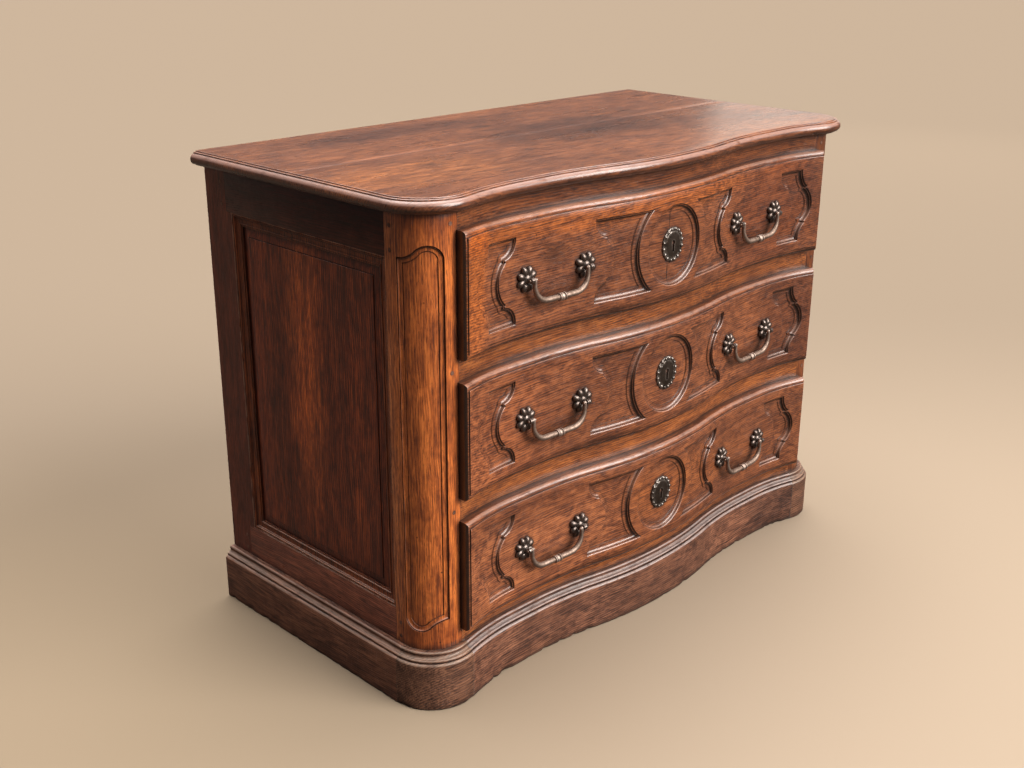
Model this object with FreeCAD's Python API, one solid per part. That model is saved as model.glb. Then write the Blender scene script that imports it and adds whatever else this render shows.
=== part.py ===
import FreeCAD, Part
import math
import os

# Chest of three long drawers with a crossbow front: a bow in the middle, a hollow either side of it and
# rounded ears at the corners. Millimetres. X runs along the front, -Y is the front, Z is up. The origin
# is on the floor, under the middle of the top.

V = FreeCAD.Vector

# ---- overall ----
carcass_width = 1210.0          # over the flat sides
total_depth = 648.5             # bow of the top to the back
height = 932.0
top_thickness = 27.0
top_overhang = 28.0             # top beyond the carcass, front and sides
top_joint = 30.0                # joint between the two top boards, behind the middle
top_bead = 10.5                 # radius of the bead on its edge
top_bead_above = 12.0           # middle of the bead above the underside
top_arris = 15.0                # arris of the upper face beyond the carcass
top_flat = 5.5                  # flat between the arris and the bead
top_step = 2.0                  # drop from the upper face to that flat
top_edge_width = 40.0           # strip of the edge that the moulding is worked on
plinth_height = 112.0
plinth_thickness = 24.0
plinth_corner_reach = 83.0      # corner block, from the side inwards along the front
plinth_moulding = 24.0          # height of the moulding on the upper edge
plinth_profile = [              # its beads and hollow: drop below the top, reach from the carcass, sag
    (18.5, 17.0, -2.1),
    (12.5, 16.5, -2.2),
    (6.5, 10.5, 1.7),
    (0.0, 8.0, -2.4),
]

# ---- plan of the front ----
bow_projection = 33.5           # middle bow beyond the hollows
ear_projection = 21.5           # ears beyond the hollows
hollow_start = 335.0            # from the middle to where the bow's flank is straight
bow_radius = 860.0
ear_hollow_radius = 491.0
corner_radius = 64.0

# ---- frame ----
post_width = 81.0               # front posts, from the side of the chest to the drawers
front_post_behind_corner = 24.5  # post behind the start of its rounded corner
rear_post_width = 45.0
rear_post_depth = 79.5
rail_into_rear_post = 16.0      # side rails let into the rear posts
rail_depth = 45.0
side_frame_thickness = 30.0
side_top_rail = 80.0
side_bottom_rail = 66.0          # above the plinth
tenon_length = 30.0
tenon_thickness = 12.0
tenon_shoulder = 6.0
tenon_behind_face = 12.0        # rail tenons behind the crown of the ears
peg_radius = 3.5
peg_proud = 0.4
peg_inset = 13.0
peg_beside_opening = 17.0

# ---- drawers ----
rail_shown = {"top": 34.0, "upper": 40.5, "lower": 43.0, "bottom": 27.0}     # rails left in sight
upper_front_extra = 5.75        # upper front deeper than each of the other two
lip_overlap = 9.0               # lip over the rails and posts
lip_gap = 0.4                   # closed lip to rail
front_proud = 24.0              # field of a front beyond the rails
front_inside = 16.0             # front behind the face of the rails
front_clearance = 1.5           # front in its opening
thumb_step = 2.5                # fillet of the thumb moulding
thumb_radius = 9.0              # quarter round of the thumb moulding
side_board = 13.0
side_clearance = 0.5            # drawer's sides above the runners
side_lower = 14.0               # drawer's sides below the top of its opening
drawer_back_board = 11.0
drawer_back_lower = 26.0
drawer_back_gap = 26.0          # drawer's back to the boards at the back of the chest
drawer_bottom = 8.0
drawer_bottom_rise = 9.0        # drawer's bottom above the lower edge of its sides
groove_depth = 5.0
tail_count = 4
tail_length = 20.0
tail_slope = 0.17

# ---- carving of the fronts ----
carve_below_middle = 1.5
carve_border = 28.625           # carving to the edges of the lower fronts
carve_depth = 6.0
carve_slope = 10.0              # width of the sloped wall
roundel_beyond_panels = 1.0
ring_width = 19.5               # band round the roundel
cartouche_corner = 94.5         # half widths of the cartouche
cartouche_tip = 121.0
cartouche_lobe = 136.5
tip_height = 40.0
scoop_sag = 10.0
end_lobe_margin = 34.0          # end panel to the end of the front, at its lobe
end_flare_margin = 50.0
end_corner_margin = 67.0
end_flare_sag = 5.5

# ---- sides ----
moulding_width = 23.0
moulding_sink = 8.0             # inner edge of the moulding below the frame
moulding_thickness = 20.0
moulding_rebate = 8.0
moulding_lip = 11.0             # thickness of the moulding over its rebate
moulding_fillet = 3.0
moulding_bead = 3.0
moulding_curve = 1.2
panel_tongue = 6.0
panel_bevel = 18.0
panel_rise = 3.0
panel_field_step = 1.5
back_board = 12.0
back_rebate = 20.0
back_board_count = 3
back_bottom = 60.0
bottom_board = 12.0

# ---- sunk panel on the rounded corners ----
corner_panel_above_plinth = 56.5    # corners of the panel, and the rise of the curves at its ends
corner_panel_below_top = 75.0
corner_panel_rise = 22.0
corner_panel_start = 5.0        # degrees round the corner from the side
corner_panel_end = 77.0
corner_panel_depth = 4.0
corner_panel_foot = 0.38        # share of its width at which its upper curve starts to swell
corner_panel_crown = 0.68       # share of its width at which that curve is highest
corner_panel_hip = 0.6          # share of the way to the foot at which that curve is lowest
corner_panel_dip = 0.15         # shares of the rise at the hip and at the foot
corner_panel_swell = 0.5

# ---- runners ----
runner_depth = 22.0
runner_under_drawer = 32.0
guide_height = 30.0
guide_width = 22.0

# ---- metalwork ----
rosette_spacing = 143.0
rosette_radius = 18.0
rosette_thickness = 2.5
rosette_off_wood = 0.4
petal_count = 8
petal_length = 4.5
boss_radius = 9.0
boss_height = 4.0
eye_reach = 16.0                # hinge line of the bail in front of the field
eye_radius = 5.2
eye_length = 7.0
stud_radius = 2.6
stud_clearance = 0.1
stud_back = 6.0                 # stud beyond the inside of the front
nut_radius = 7.0
nut_thickness = 3.0
pin_radius = 2.2
pin_clearance = 0.1
rod_radius = 3.1
rod_to_eye = 0.5
bail_drop = 41.0
bail_corner_radius = 30.0
knop_radius = 5.2
collar_radius = 4.6
collar_width = 2.4
collar_spacing = 5.5
escutcheon_width = 62.0
escutcheon_height = 68.0
escutcheon_thickness = 2.4
escutcheon_lobes = 16
escutcheon_lobe = 1.6
key_above_middle = 4.0
key_bore = 4.2
key_slot = 2.2
key_drop = 16.0
lock_width = 76.0
lock_height = 92.0
lock_above_key = 48.0
lock_thickness = 12.0
lock_let_in = 2.0
bolt_width = 16.0
bolt_thickness = 6.0
bolt_clearance = 0.4
bolt_in_lock = 34.0
bolt_throw = 9.0
bolt_below_edge = 1.5           # drawn bolt below the top of its drawer front
keeper_depth = 14.0             # mortise for the bolt in the rail above

# ---- worked out from the above ----
half_width = carcass_width / 2
back_y = total_depth / 2
bow_y = -total_depth / 2 + top_overhang
hollow_y = bow_y + bow_projection
ear_y = hollow_y - ear_projection
corner_x = half_width - corner_radius
corner_y = ear_y + corner_radius
post_back_y = corner_y + front_post_behind_corner
rear_post_y = back_y - rear_post_depth
rail_back_y = rear_post_y + rail_into_rear_post
opening_half_width = half_width - post_width
carcass_top = height - top_thickness
fronts_together = carcass_top - plinth_height - sum(rail_shown.values())
front_height = (fronts_together - upper_front_extra) / 3
lower_front = plinth_height + rail_shown["bottom"]
middle_front = lower_front + front_height + rail_shown["lower"]
upper_front = middle_front + front_height + rail_shown["upper"]
drawer_levels = {
    "upper": (upper_front, upper_front + front_height + upper_front_extra),
    "middle": (middle_front, middle_front + front_height),
    "lower": (lower_front, lower_front + front_height),
}
bow_and_flank = (hollow_start ** 2 + bow_projection ** 2) / (2 * bow_projection)
bow_angle = 2 * math.atan(bow_projection / hollow_start)
flank_radius = bow_and_flank - bow_radius
ear_and_corner = corner_radius + ear_hollow_radius
ear_angle = math.acos(1 - ear_projection / ear_and_corner)
ear_hollow_x = corner_x - ear_and_corner * math.sin(ear_angle)
crown_start = corner_x - corner_radius * math.sin(ear_angle)
front_half_width = opening_half_width + lip_overlap
carve_floor = front_proud - carve_depth
carve_half_height = front_height / 2 - carve_border
roundel_radius = carve_half_height + roundel_beyond_panels
ring_radius = roundel_radius + ring_width
end_lobe = front_half_width - end_lobe_margin
end_flare = front_half_width - end_flare_margin
end_corner = front_half_width - end_corner_margin
cartouche_centre = (ring_radius + end_lobe) / 2
corner_panel_low = plinth_height + corner_panel_above_plinth
corner_panel_high = carcass_top - corner_panel_below_top
inside_half_width = opening_half_width - front_clearance - side_board
drawer_back_y = back_y - back_board - drawer_back_gap
far = 2 * carcass_width

written = []


def keep(shape, name):
    shape.exportStep("parts/" + name + ".step")
    written.append(name)


def box(x, y, z):
    """Box from three (low, high) pairs."""
    return Part.makeBox(x[1] - x[0], y[1] - y[0], z[1] - z[0], V(x[0], y[0], z[0]))


def both_sides(x, y, z):
    """A box and its mirror image in the middle plane."""
    return [box(x, y, z), box((-x[1], -x[0]), y, z)]


def mirrored(shape):
    return shape.mirror(V(0, 0, 0), V(1, 0, 0))


def keep_pair(shape, name):
    """Write a piece made for the left and its mirror image for the right."""
    keep(shape, name + "_left")
    keep(mirrored(shape), name + "_right")


def arc(centre, radius, start, end):
    """Arc in plan between two angles in radians."""
    angles = (start, (start + end) / 2, end)
    points = [V(centre[0] + radius * math.cos(a), centre[1] + radius * math.sin(a), 0) for a in angles]
    return Part.Arc(*points).toShape()


def line(start, end):
    return Part.LineSegment(start, end).toShape()


def outline(steps, place):
    """Face inside points and (through, to) pairs for arcs, each turned into space by place."""
    edges = []
    here = steps[0]
    for step in steps[1:]:
        if isinstance(step[0], tuple):
            edges.append(Part.Arc(place(here), place(step[0]), place(step[1])).toShape())
            here = step[1]
        else:
            edges.append(line(place(here), place(step)))
            here = step
    if here != steps[0]:
        edges.append(line(place(here), place(steps[0])))
    return Part.Face(Part.Wire(edges))


def bulge(start, end, sag):
    """Arc step from start to end whose middle lies sag to the left of the way there."""
    dx = end[0] - start[0]
    dz = end[1] - start[1]
    length = math.hypot(dx, dz)
    middle = ((start[0] + end[0]) / 2 - dz / length * sag, (start[1] + end[1]) / 2 + dx / length * sag)
    return (middle, end)


def scalloped(half_x, half_z, count, sag):
    """Outline of equal lobes round an oval."""
    angles = [2 * math.pi * i / count for i in range(count + 1)]
    points = [(half_x * math.cos(a), half_z * math.sin(a)) for a in angles[:-1]]
    points.append(points[0])
    return points[:1] + [bulge(p, q, -sag) for p, q in zip(points, points[1:])]


# ---- the plan curve, set off outwards from the carcass ----


def half_front(out):
    """Plan curve from the middle of the front round the corner to the back, on the right."""
    down = -math.pi / 2
    up = math.pi / 2
    flank = (hollow_start, hollow_y - flank_radius)
    hollow = (ear_hollow_x, hollow_y - ear_hollow_radius)
    side = half_width + out
    return [
        arc((0, bow_y + bow_radius), bow_radius + out, down, down + bow_angle),
        arc(flank, flank_radius - out, up + bow_angle, up),
        line(V(hollow_start, hollow_y - out, 0), V(ear_hollow_x, hollow_y - out, 0)),
        arc(hollow, ear_hollow_radius - out, up, up - ear_angle),
        arc((corner_x, corner_y), corner_radius + out, down - ear_angle, 0),
        line(V(side, corner_y, 0), V(side, back_y, 0)),
    ]


def block(out, low, high):
    """Everything inside the plan curve, from one level to another."""
    right = half_front(out)
    left = Part.Wire(right).mirror(V(0, 0, 0), V(1, 0, 0)).Edges
    back = line(V(half_width + out, back_y, 0), V(-half_width - out, back_y, 0))
    face = Part.Face(Part.Wire(Part.__sortEdges__(right + left + [back])))
    face.translate(V(0, 0, low))
    return face.extrude(V(0, 0, high - low))


def band(inner, outer, low, high):
    return block(outer, low, high).cut(block(inner, low, high))


def run(steps):
    """A section of (outwards, height) steps worked along the whole front and both sides."""
    right = []
    for edge in half_front(0):
        start = edge.valueAt(edge.FirstParameter)
        outwards = edge.tangentAt(edge.FirstParameter).cross(V(0, 0, 1))
        section = outline(steps, lambda p: start + outwards * p[0] + V(0, 0, p[1]))
        if isinstance(edge.Curve, Part.Circle):
            turn = math.degrees(edge.LastParameter - edge.FirstParameter)
            right.append(section.revolve(edge.Curve.Center, edge.Curve.Axis, turn))
        else:
            right.append(section.extrude(edge.valueAt(edge.LastParameter) - start))
    left = [mirrored(piece) for piece in right]
    return right[0].multiFuse(right[1:] + left).removeSplitter()


def front_y(x, out=0.0):
    """Y of the plan curve at a distance from the middle."""
    x = abs(x)
    if x <= bow_radius * math.sin(bow_angle):
        return bow_y + bow_radius - math.sqrt((bow_radius + out) ** 2 - x ** 2)
    if x <= hollow_start:
        radius = flank_radius - out
        return hollow_y - flank_radius + math.sqrt(radius ** 2 - (hollow_start - x) ** 2)
    if x <= ear_hollow_x:
        return hollow_y - out
    if x <= crown_start:
        radius = ear_hollow_radius - out
        return hollow_y - ear_hollow_radius + math.sqrt(radius ** 2 - (x - ear_hollow_x) ** 2)
    return corner_y - math.sqrt((corner_radius + out) ** 2 - (x - corner_x) ** 2)


# ---- top and plinth ----


def make_top():
    """Bead and fillet worked on the front and ends, and a joint between the two boards."""
    centre = top_overhang - top_bead
    bead_z = carcass_top + top_bead_above
    shoulder_x = top_arris + top_flat
    turn = math.acos((shoulder_x - centre) / top_bead)
    shoulder = (shoulder_x, bead_z + top_bead * math.sin(turn))
    middle = (turn - math.pi / 2) / 2
    nose = (centre + top_bead * math.cos(middle), bead_z + top_bead * math.sin(middle))
    inner = top_overhang - top_edge_width
    edge = run([
        (inner, carcass_top),
        (centre, carcass_top),
        (centre, bead_z - top_bead),
        (nose, shoulder),
        (shoulder_x, height - top_step),
        (top_arris, height - top_step),
        (top_arris, height),
        (inner, height),
    ])
    top = edge.fuse(block(inner, carcass_top, height)).removeSplitter()
    keep(top.common(box((-far, far), (-far, top_joint), (0, far))), "top_board_front")
    keep(top.common(box((-far, far), (top_joint, far), (0, far))), "top_board_back")


def make_plinth():
    """Boards planted on the carcass, their upper edge worked with two beads and a hollow."""
    top = plinth_height
    steps = [(0.0, 0.0), (plinth_thickness, 0.0), (plinth_thickness, top - plinth_moulding)]
    here = steps[-1]
    for drop, out, sag in plinth_profile:
        there = (out, top - drop)
        steps.append(bulge(here, there, sag))
        here = there
    plinth = run(steps + [(0.0, top)])
    joint = half_width - plinth_corner_reach
    corner = box((-far, -joint), (-far, corner_y), (0, top))
    side = box((-far, 0), (corner_y, far), (0, top))
    keep(plinth.common(box((-joint, joint), (-far, corner_y), (0, top))), "plinth_front")
    keep_pair(plinth.common(corner), "plinth_corner")
    keep_pair(plinth.common(side), "plinth_side")


# ---- frame ----


def opening(level):
    """Lowest and highest level of the opening behind one front."""
    low, high = drawer_levels[level]
    return low + lip_overlap, high - lip_overlap


def rail_levels():
    return {
        "front_top_rail": (opening("upper")[1], carcass_top),
        "front_divider_upper": (opening("middle")[1], opening("upper")[0]),
        "front_divider_lower": (opening("lower")[1], opening("middle")[0]),
        "front_bottom_rail": (back_bottom, opening("lower")[0]),
    }


def side_rail_levels():
    return {
        "side_rail_top": (carcass_top - side_top_rail, carcass_top),
        "side_rail_bottom": (back_bottom, plinth_height + side_bottom_rail),
    }


def make_pegs():
    """Pegs through the tenons on the left, and their mirror images."""
    pegs = []
    for low, high in rail_levels().values():
        if low > plinth_height:
            x = opening_half_width + peg_beside_opening
            start = V(-x, front_y(x) - peg_proud, (low + high) / 2)
            pegs.append(Part.makeCylinder(peg_radius, rail_depth, start, V(0, 1, 0)))
    for low, high in side_rail_levels().values():
        for y in (post_back_y - peg_inset, rail_back_y + peg_inset):
            for z in (high - 2 * peg_inset, max(low, plinth_height) + peg_inset):
                start = V(-half_width - peg_proud, y, z)
                pegs.append(Part.makeCylinder(peg_radius, side_frame_thickness, start, V(1, 0, 0)))
    left = Part.makeCompound(pegs)
    return Part.makeCompound([left, mirrored(left)])


def make_front_rails(pegs):
    """Rails that follow the plan, tenoned into the posts. Returns them by name."""
    rails = {}
    for name, (low, high) in rail_levels().items():
        bar = band(-rail_depth, 0, low, high)
        bar = bar.common(box((-opening_half_width, opening_half_width), (-far, 0), (low, high)))
        tenons = both_sides(
            (opening_half_width, opening_half_width + tenon_length),
            (ear_y + tenon_behind_face, ear_y + tenon_behind_face + tenon_thickness),
            (low + tenon_shoulder, high - tenon_shoulder),
        )
        rails[name] = bar.multiFuse(tenons).cut(pegs)
    return rails


def make_side_rails(pegs):
    """Rails of the left side, tenoned into both posts and let into the rear one. Returns them by name."""
    rails = {}
    tenon_x = -half_width + (side_frame_thickness - tenon_thickness) / 2
    for name, (low, high) in side_rail_levels().items():
        across = (-half_width, -half_width + side_frame_thickness)
        rail = box(across, (post_back_y, rail_back_y), (low, high))
        tenon = box(
            (tenon_x, tenon_x + tenon_thickness),
            (post_back_y - tenon_length, rail_back_y + tenon_length),
            (low + tenon_shoulder, high - tenon_shoulder),
        )
        rails[name] = rail.fuse(tenon).cut(pegs)
    return rails


def corner_panel_cutter():
    """Cutter for the sunk panel of the left corner, drawn across the corner and run square to it."""
    across = V(1, -1, 0).normalize()
    inwards = V(1, 1, 0).normalize()
    centre = V(-corner_x, corner_y, 0)
    start = corner_panel_start
    end = corner_panel_end
    low = corner_panel_low
    high = corner_panel_high

    def place(p):
        shift = corner_radius * math.sin(math.radians(p[0]) - math.pi / 4)
        return centre + across * shift - inwards * 2 * corner_radius + V(0, 0, p[1])

    foot = (end - start) * corner_panel_foot
    crown = (end - start) * corner_panel_crown
    hip = foot * corner_panel_hip
    rise = corner_panel_rise
    dip = rise * corner_panel_dip
    swell = rise * corner_panel_swell
    panel = outline([
        (start, low),
        (start, high),
        ((start + hip, high + dip), (start + foot, high + swell)),
        ((start + crown, high + rise), (end, high)),
        (end, low),
        ((end - hip, low - dip), (end - foot, low - swell)),
        ((end - crown, low - rise), (start, low)),
    ], place)
    return panel.extrude(inwards * 2 * corner_radius)


def make_posts(front_rails, side_rails, pegs):
    """Left posts: the front one rounded in plan with a sunk panel, the rear one rebated for the back."""
    outside = (-half_width, -opening_half_width)
    front = block(0, 0, carcass_top).common(box(outside, (-far, post_back_y), (0, carcass_top)))
    sunk = block(0, 0, height).cut(block(-corner_panel_depth, 0, height)).common(corner_panel_cutter())
    front = front.cut(sunk).cut(Part.makeCompound(list(front_rails.values())))
    rear = box((-half_width, -half_width + rear_post_width), (rear_post_y, back_y), (0, carcass_top))
    rebate_x = (-half_width + rear_post_width - back_rebate, 0)
    rebate = box(rebate_x, (back_y - back_board, back_y), (back_bottom, height))
    holes = Part.makeCompound(list(side_rails.values()) + [pegs])
    return front.cut(holes), rear.cut(rebate).cut(holes)


def make_side_panel():
    """Left side's mitred moulding and the raised panel held behind it."""
    low_y = post_back_y
    high_y = rear_post_y
    low_z = side_rail_levels()["side_rail_bottom"][1]
    high_z = side_rail_levels()["side_rail_top"][0]
    inner = moulding_width - moulding_rebate
    sink = moulding_sink
    fillet = moulding_fillet
    bead = moulding_bead
    section = [
        (0.0, 0.0),
        (fillet, 0.0),
        (fillet, fillet / 2),
        bulge((fillet, fillet / 2), (moulding_width / 2, sink / 2), moulding_curve),
        bulge((moulding_width / 2, sink / 2), (moulding_width - bead, sink), -moulding_curve),
        bulge((moulding_width - bead, sink), (moulding_width, sink), bead / 2),
        (moulding_width, moulding_lip),
        (inner, moulding_lip),
        (inner, moulding_thickness),
        (0.0, moulding_thickness),
    ]
    corners = [(low_y, low_z), (high_y, low_z), (high_y, high_z), (low_y, high_z)]
    strips = []
    for here, there in zip(corners, corners[1:] + corners[:1]):
        start = V(-half_width, here[0], here[1])
        way = V(-half_width, there[0], there[1]) - start
        along = V(way)
        along.normalize()
        towards = V(1, 0, 0).cross(along)
        strip = outline(section, lambda p: start + towards * p[0] + V(p[1], 0, 0)).extrude(way)
        mitre = outline(
            [(0.0, 0.0), (way.Length, 0.0), (way.Length - inner * 2, inner * 2), (inner * 2, inner * 2)],
            lambda p: start + along * p[0] + towards * p[1],
        ).extrude(V(moulding_thickness, 0, 0))
        strips.append(strip.common(mitre))

    def level(inset, depth):
        steps = [(low_y + inset, low_z + inset), (high_y - inset, low_z + inset)]
        steps += [(high_y - inset, high_z - inset), (low_y + inset, high_z - inset)]
        return outline(steps, lambda p: V(-half_width + depth, p[0], p[1]))

    back = moulding_lip + panel_tongue
    bevel_end = moulding_width + panel_bevel
    tongue = level(inner, moulding_lip).extrude(V(panel_tongue, 0, 0))
    edge = level(moulding_width, moulding_lip)
    crest = level(bevel_end, moulding_lip - panel_rise)
    bevel = Part.makeLoft([edge.OuterWire, crest.OuterWire], True, True)
    field = level(bevel_end, moulding_lip - panel_rise - panel_field_step)
    field = field.extrude(V(back - moulding_lip, 0, 0))
    return Part.makeCompound(strips), tongue.multiFuse([bevel, field]).removeSplitter()


def make_runners(solids):
    """Runners with guides, and kickers over the upper drawer, on the left and the right."""
    under = (opening_half_width - runner_under_drawer, half_width - side_frame_thickness)
    depth = (ear_y + rail_depth, back_y - back_board)
    beside = (opening_half_width, opening_half_width + guide_width)
    pieces = []
    for level in drawer_levels:
        low = opening(level)[0]
        pieces.append(box(under, depth, (low - runner_depth, low)).cut(solids))
        pieces.append(box(beside, (post_back_y, rear_post_y), (low, low + guide_height)).cut(solids))
    high = opening("upper")[1]
    pieces.append(box(under, depth, (high, high + runner_depth)).cut(solids))
    right = Part.makeCompound(pieces)
    return Part.makeCompound([right, mirrored(right)])


def make_frame(bolt_holes):
    pegs = make_pegs()
    front_rails = make_front_rails(pegs)
    side_rails = make_side_rails(pegs)
    front_post, rear_post = make_posts(front_rails, side_rails, pegs)
    moulding, panel = make_side_panel()
    for name, rail in front_rails.items():
        front_rails[name] = rail.cut(bolt_holes)
        keep(front_rails[name], name)
    for name, rail in side_rails.items():
        keep_pair(rail, name)
    keep_pair(front_post, "front_post")
    keep_pair(rear_post, "rear_post")
    keep_pair(moulding, "side_moulding")
    keep_pair(panel, "side_panel")
    keep(pegs, "frame_pegs")
    left = Part.makeCompound([front_post, rear_post])
    solids = Part.makeCompound(list(front_rails.values()) + [left, mirrored(left)])
    keep(make_runners(solids), "drawer_runners")
    inside = half_width - side_frame_thickness
    floor_top = opening("lower")[0] - runner_depth
    floor = box((-inside, inside), (-far, back_y - back_board), (floor_top - bottom_board, floor_top))
    keep(floor.common(block(-rail_depth, 0, height)).cut(solids), "bottom_board")
    reach = half_width - rear_post_width + back_rebate
    width = (carcass_top - back_bottom) / back_board_count
    lows = [back_bottom + width * i for i in range(back_board_count)]
    boards = [box((-reach, reach), (back_y - back_board, back_y), (low, low + width)) for low in lows]
    keep(Part.makeCompound(boards), "back_boards")


# ---- carving ----


def end_panel(inset):
    """Sunk panel near the end of a front: the cartouche's end on one side, a lobe on the other."""
    near = cartouche_centre + cartouche_corner + inset
    tip = cartouche_centre + cartouche_tip + inset
    lobe = cartouche_centre + cartouche_lobe + inset
    corner = end_corner - inset
    flare = end_flare - inset
    high = carve_half_height - inset
    return [
        (near, high),
        (corner, high),
        bulge((corner, high), (flare, tip_height), -end_flare_sag),
        ((end_lobe - inset, 0.0), (flare, -tip_height)),
        bulge((flare, -tip_height), (corner, -high), -end_flare_sag),
        (near, -high),
        bulge((near, -high), (tip, -tip_height), scoop_sag),
        ((lobe, 0.0), (tip, tip_height)),
        bulge((tip, tip_height), (near, high), scoop_sag),
    ]


def middle_panel(inset):
    """Sunk panel between the cartouche and the band round the roundel."""
    near = cartouche_centre - cartouche_corner - inset
    tip = cartouche_centre - cartouche_tip - inset
    lobe = cartouche_centre - cartouche_lobe - inset
    ring = ring_radius + inset
    high = carve_half_height - inset
    foot = math.sqrt(ring ** 2 - high ** 2)
    return [
        (near, high),
        (foot, high),
        ((ring, 0.0), (foot, -high)),
        (near, -high),
        bulge((near, -high), (tip, -tip_height), -scoop_sag),
        ((lobe, 0.0), (tip, tip_height)),
        bulge((tip, tip_height), (near, high), -scoop_sag),
    ]


def panel_cutter(panel, near, distant, middle_z):
    """Cutter with sloped walls, square to the chord of the face between two distances from the middle."""
    near_y = front_y(near, front_proud)
    fall = (front_y(distant, front_proud) - near_y) / (distant - near)
    normal = V(fall, -1, 0).normalize()
    spread = carve_slope / carve_depth
    above = carve_depth / 2
    below = carve_depth + above

    def section(depth):
        def place(p):
            return V(p[0], near_y + fall * (p[0] - near), middle_z + p[1]) - normal * depth

        return outline(panel(depth * spread), place).OuterWire

    return Part.makeLoft([section(-above), section(below)], True, True)


def carving_cutter(middle_z):
    """The roundel and the four panels, all to one depth under the curved field."""
    spread = carve_slope / carve_depth
    above = carve_depth / 2
    below = carve_depth + above
    face = bow_y - front_proud
    wide = roundel_radius + above * spread
    narrow = roundel_radius - below * spread
    roundel = Part.makeCone(wide, narrow, above + below, V(0, face - above, middle_z), V(0, 1, 0))
    inner = cartouche_centre - cartouche_corner
    outer = cartouche_centre + cartouche_corner
    foot = math.sqrt(ring_radius ** 2 - carve_half_height ** 2)
    middle = panel_cutter(middle_panel, foot, inner, middle_z)
    end = panel_cutter(end_panel, outer, end_lobe, middle_z)
    cutters = [roundel, middle, end, mirrored(middle), mirrored(end)]
    return Part.makeCompound([c.cut(block(carve_floor, 0, height)) for c in cutters])


# ---- drawers ----


def front_blank(low, high):
    """Front with a thumb moulding on its lips, before it is carved and cut for its joints."""
    shoulder = front_proud - thumb_step
    lip = shoulder - thumb_radius
    zone = thumb_radius + thumb_step
    inside_low = low + lip_overlap + front_clearance
    inside_high = high - lip_overlap - front_clearance
    turn = thumb_radius * (1 - math.sqrt(0.5))
    blank = run([
        (-front_inside, inside_low),
        (lip_gap, inside_low),
        (lip_gap, low),
        (lip, low),
        ((shoulder - turn, low + turn), (shoulder, low + thumb_radius)),
        (shoulder, low + zone),
        (front_proud, low + zone),
        (front_proud, high - zone),
        (shoulder, high - zone),
        (shoulder, high - thumb_radius),
        ((shoulder - turn, high - turn), (lip, high)),
        (lip_gap, high),
        (lip_gap, inside_high),
        (-front_inside, inside_high),
    ])
    blank = blank.common(box((-front_half_width, front_half_width), (-far, 0), (low, high)))
    field = ear_y - front_proud
    edge = front_half_width
    end = outline([
        (edge - zone, field - front_proud),
        (edge - zone, field + thumb_step),
        (edge - thumb_radius, field + thumb_step),
        ((edge - turn, field + thumb_step + turn), (edge, field + thumb_step + thumb_radius)),
        (edge + zone, field + thumb_step + thumb_radius),
        (edge + zone, field - front_proud),
    ], lambda p: V(p[0], p[1], 0)).extrude(V(0, 0, height))
    inner = box((opening_half_width - front_clearance, far), (-far, 0), (low, high))
    inner = inner.common(block(lip_gap, 0, height))
    cutters = [end, mirrored(end), inner, mirrored(inner)]
    return blank.cut(Part.makeCompound(cutters))


def drawer_side(low, high):
    """Right side with dovetails that run into the front."""
    outside = opening_half_width - front_clearance
    across = (outside - side_board, outside)
    board = box(across, (-far, drawer_back_y), (low, high))
    pitch = (high - low) / tail_count
    root = front_y(outside - side_board, -front_inside)
    reach = front_y(outside, tail_length - front_inside)
    tails = []
    for i in range(tail_count):
        middle = low + pitch * (i + 0.5)
        narrow = pitch / tail_count
        wide = narrow + tail_slope * (root - reach)
        tail = [(root, middle - narrow), (reach, middle - wide), (reach, middle + wide), (root, middle + narrow)]
        tails.append(outline(tail, lambda p: V(across[0], p[0], p[1])).extrude(V(side_board, 0, 0)))
    inside = block(-front_inside, 0, height)
    tails = Part.makeCompound(tails).common(block(tail_length - front_inside, 0, height))
    return board.common(inside).fuse(tails.cut(inside)).removeSplitter()


def make_lock(key_z, top):
    """Case let into the back of the front, with its bolt drawn down. Returns both and their cutters."""
    back = bow_y + front_inside
    low = key_z + lock_above_key - lock_height
    case_top = key_z + lock_above_key
    across = (-lock_width / 2, lock_width / 2)
    case = box(across, (back - lock_let_in, back - lock_let_in + lock_thickness), (low, case_top))
    bolt_y = back - lock_let_in + (lock_thickness - bolt_thickness) / 2
    half = bolt_width / 2
    foot = case_top - bolt_in_lock
    bolt = box((-half, half), (bolt_y, bolt_y + bolt_thickness), (foot, top - bolt_below_edge))
    gap = bolt_clearance
    wide = (-half - gap, half + gap)
    deep = (bolt_y - gap, bolt_y + bolt_thickness + gap)
    channel = box(wide, deep, (foot - gap, case_top + gap))
    keeper = box(wide, deep, (top, top + front_clearance + keeper_depth))
    through = (back - front_proud - front_inside, bolt_y - 2 * gap)
    key = Part.makeCylinder(key_bore, through[1] - through[0], V(0, through[0], key_z), V(0, 1, 0))
    keyhole = key.fuse(box((-key_slot, key_slot), through, (key_z - key_drop, key_z)))
    return case.cut(channel).cut(keyhole), bolt, keeper, keyhole


def make_escutcheon(middle_z):
    """Scalloped oval plate on the floor of the roundel."""
    half_x = escutcheon_width / 2 - escutcheon_lobe
    half_z = escutcheon_height / 2 - escutcheon_lobe
    face = bow_y - carve_floor - lip_gap
    lobes = scalloped(half_x, half_z, escutcheon_lobes, escutcheon_lobe)
    plate = outline(lobes, lambda p: V(p[0], face, middle_z + p[1]))
    plate = plate.extrude(V(0, -escutcheon_thickness, 0))
    key_z = middle_z + key_above_middle
    hole = Part.makeCylinder(key_bore, front_proud, V(0, face + lip_gap, key_z), V(0, -1, 0))
    slot = box((-key_slot, key_slot), (face - front_proud, face + lip_gap), (key_z - key_drop, key_z))
    return plate.cut(hole.fuse(slot))


# ---- handles ----


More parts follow.
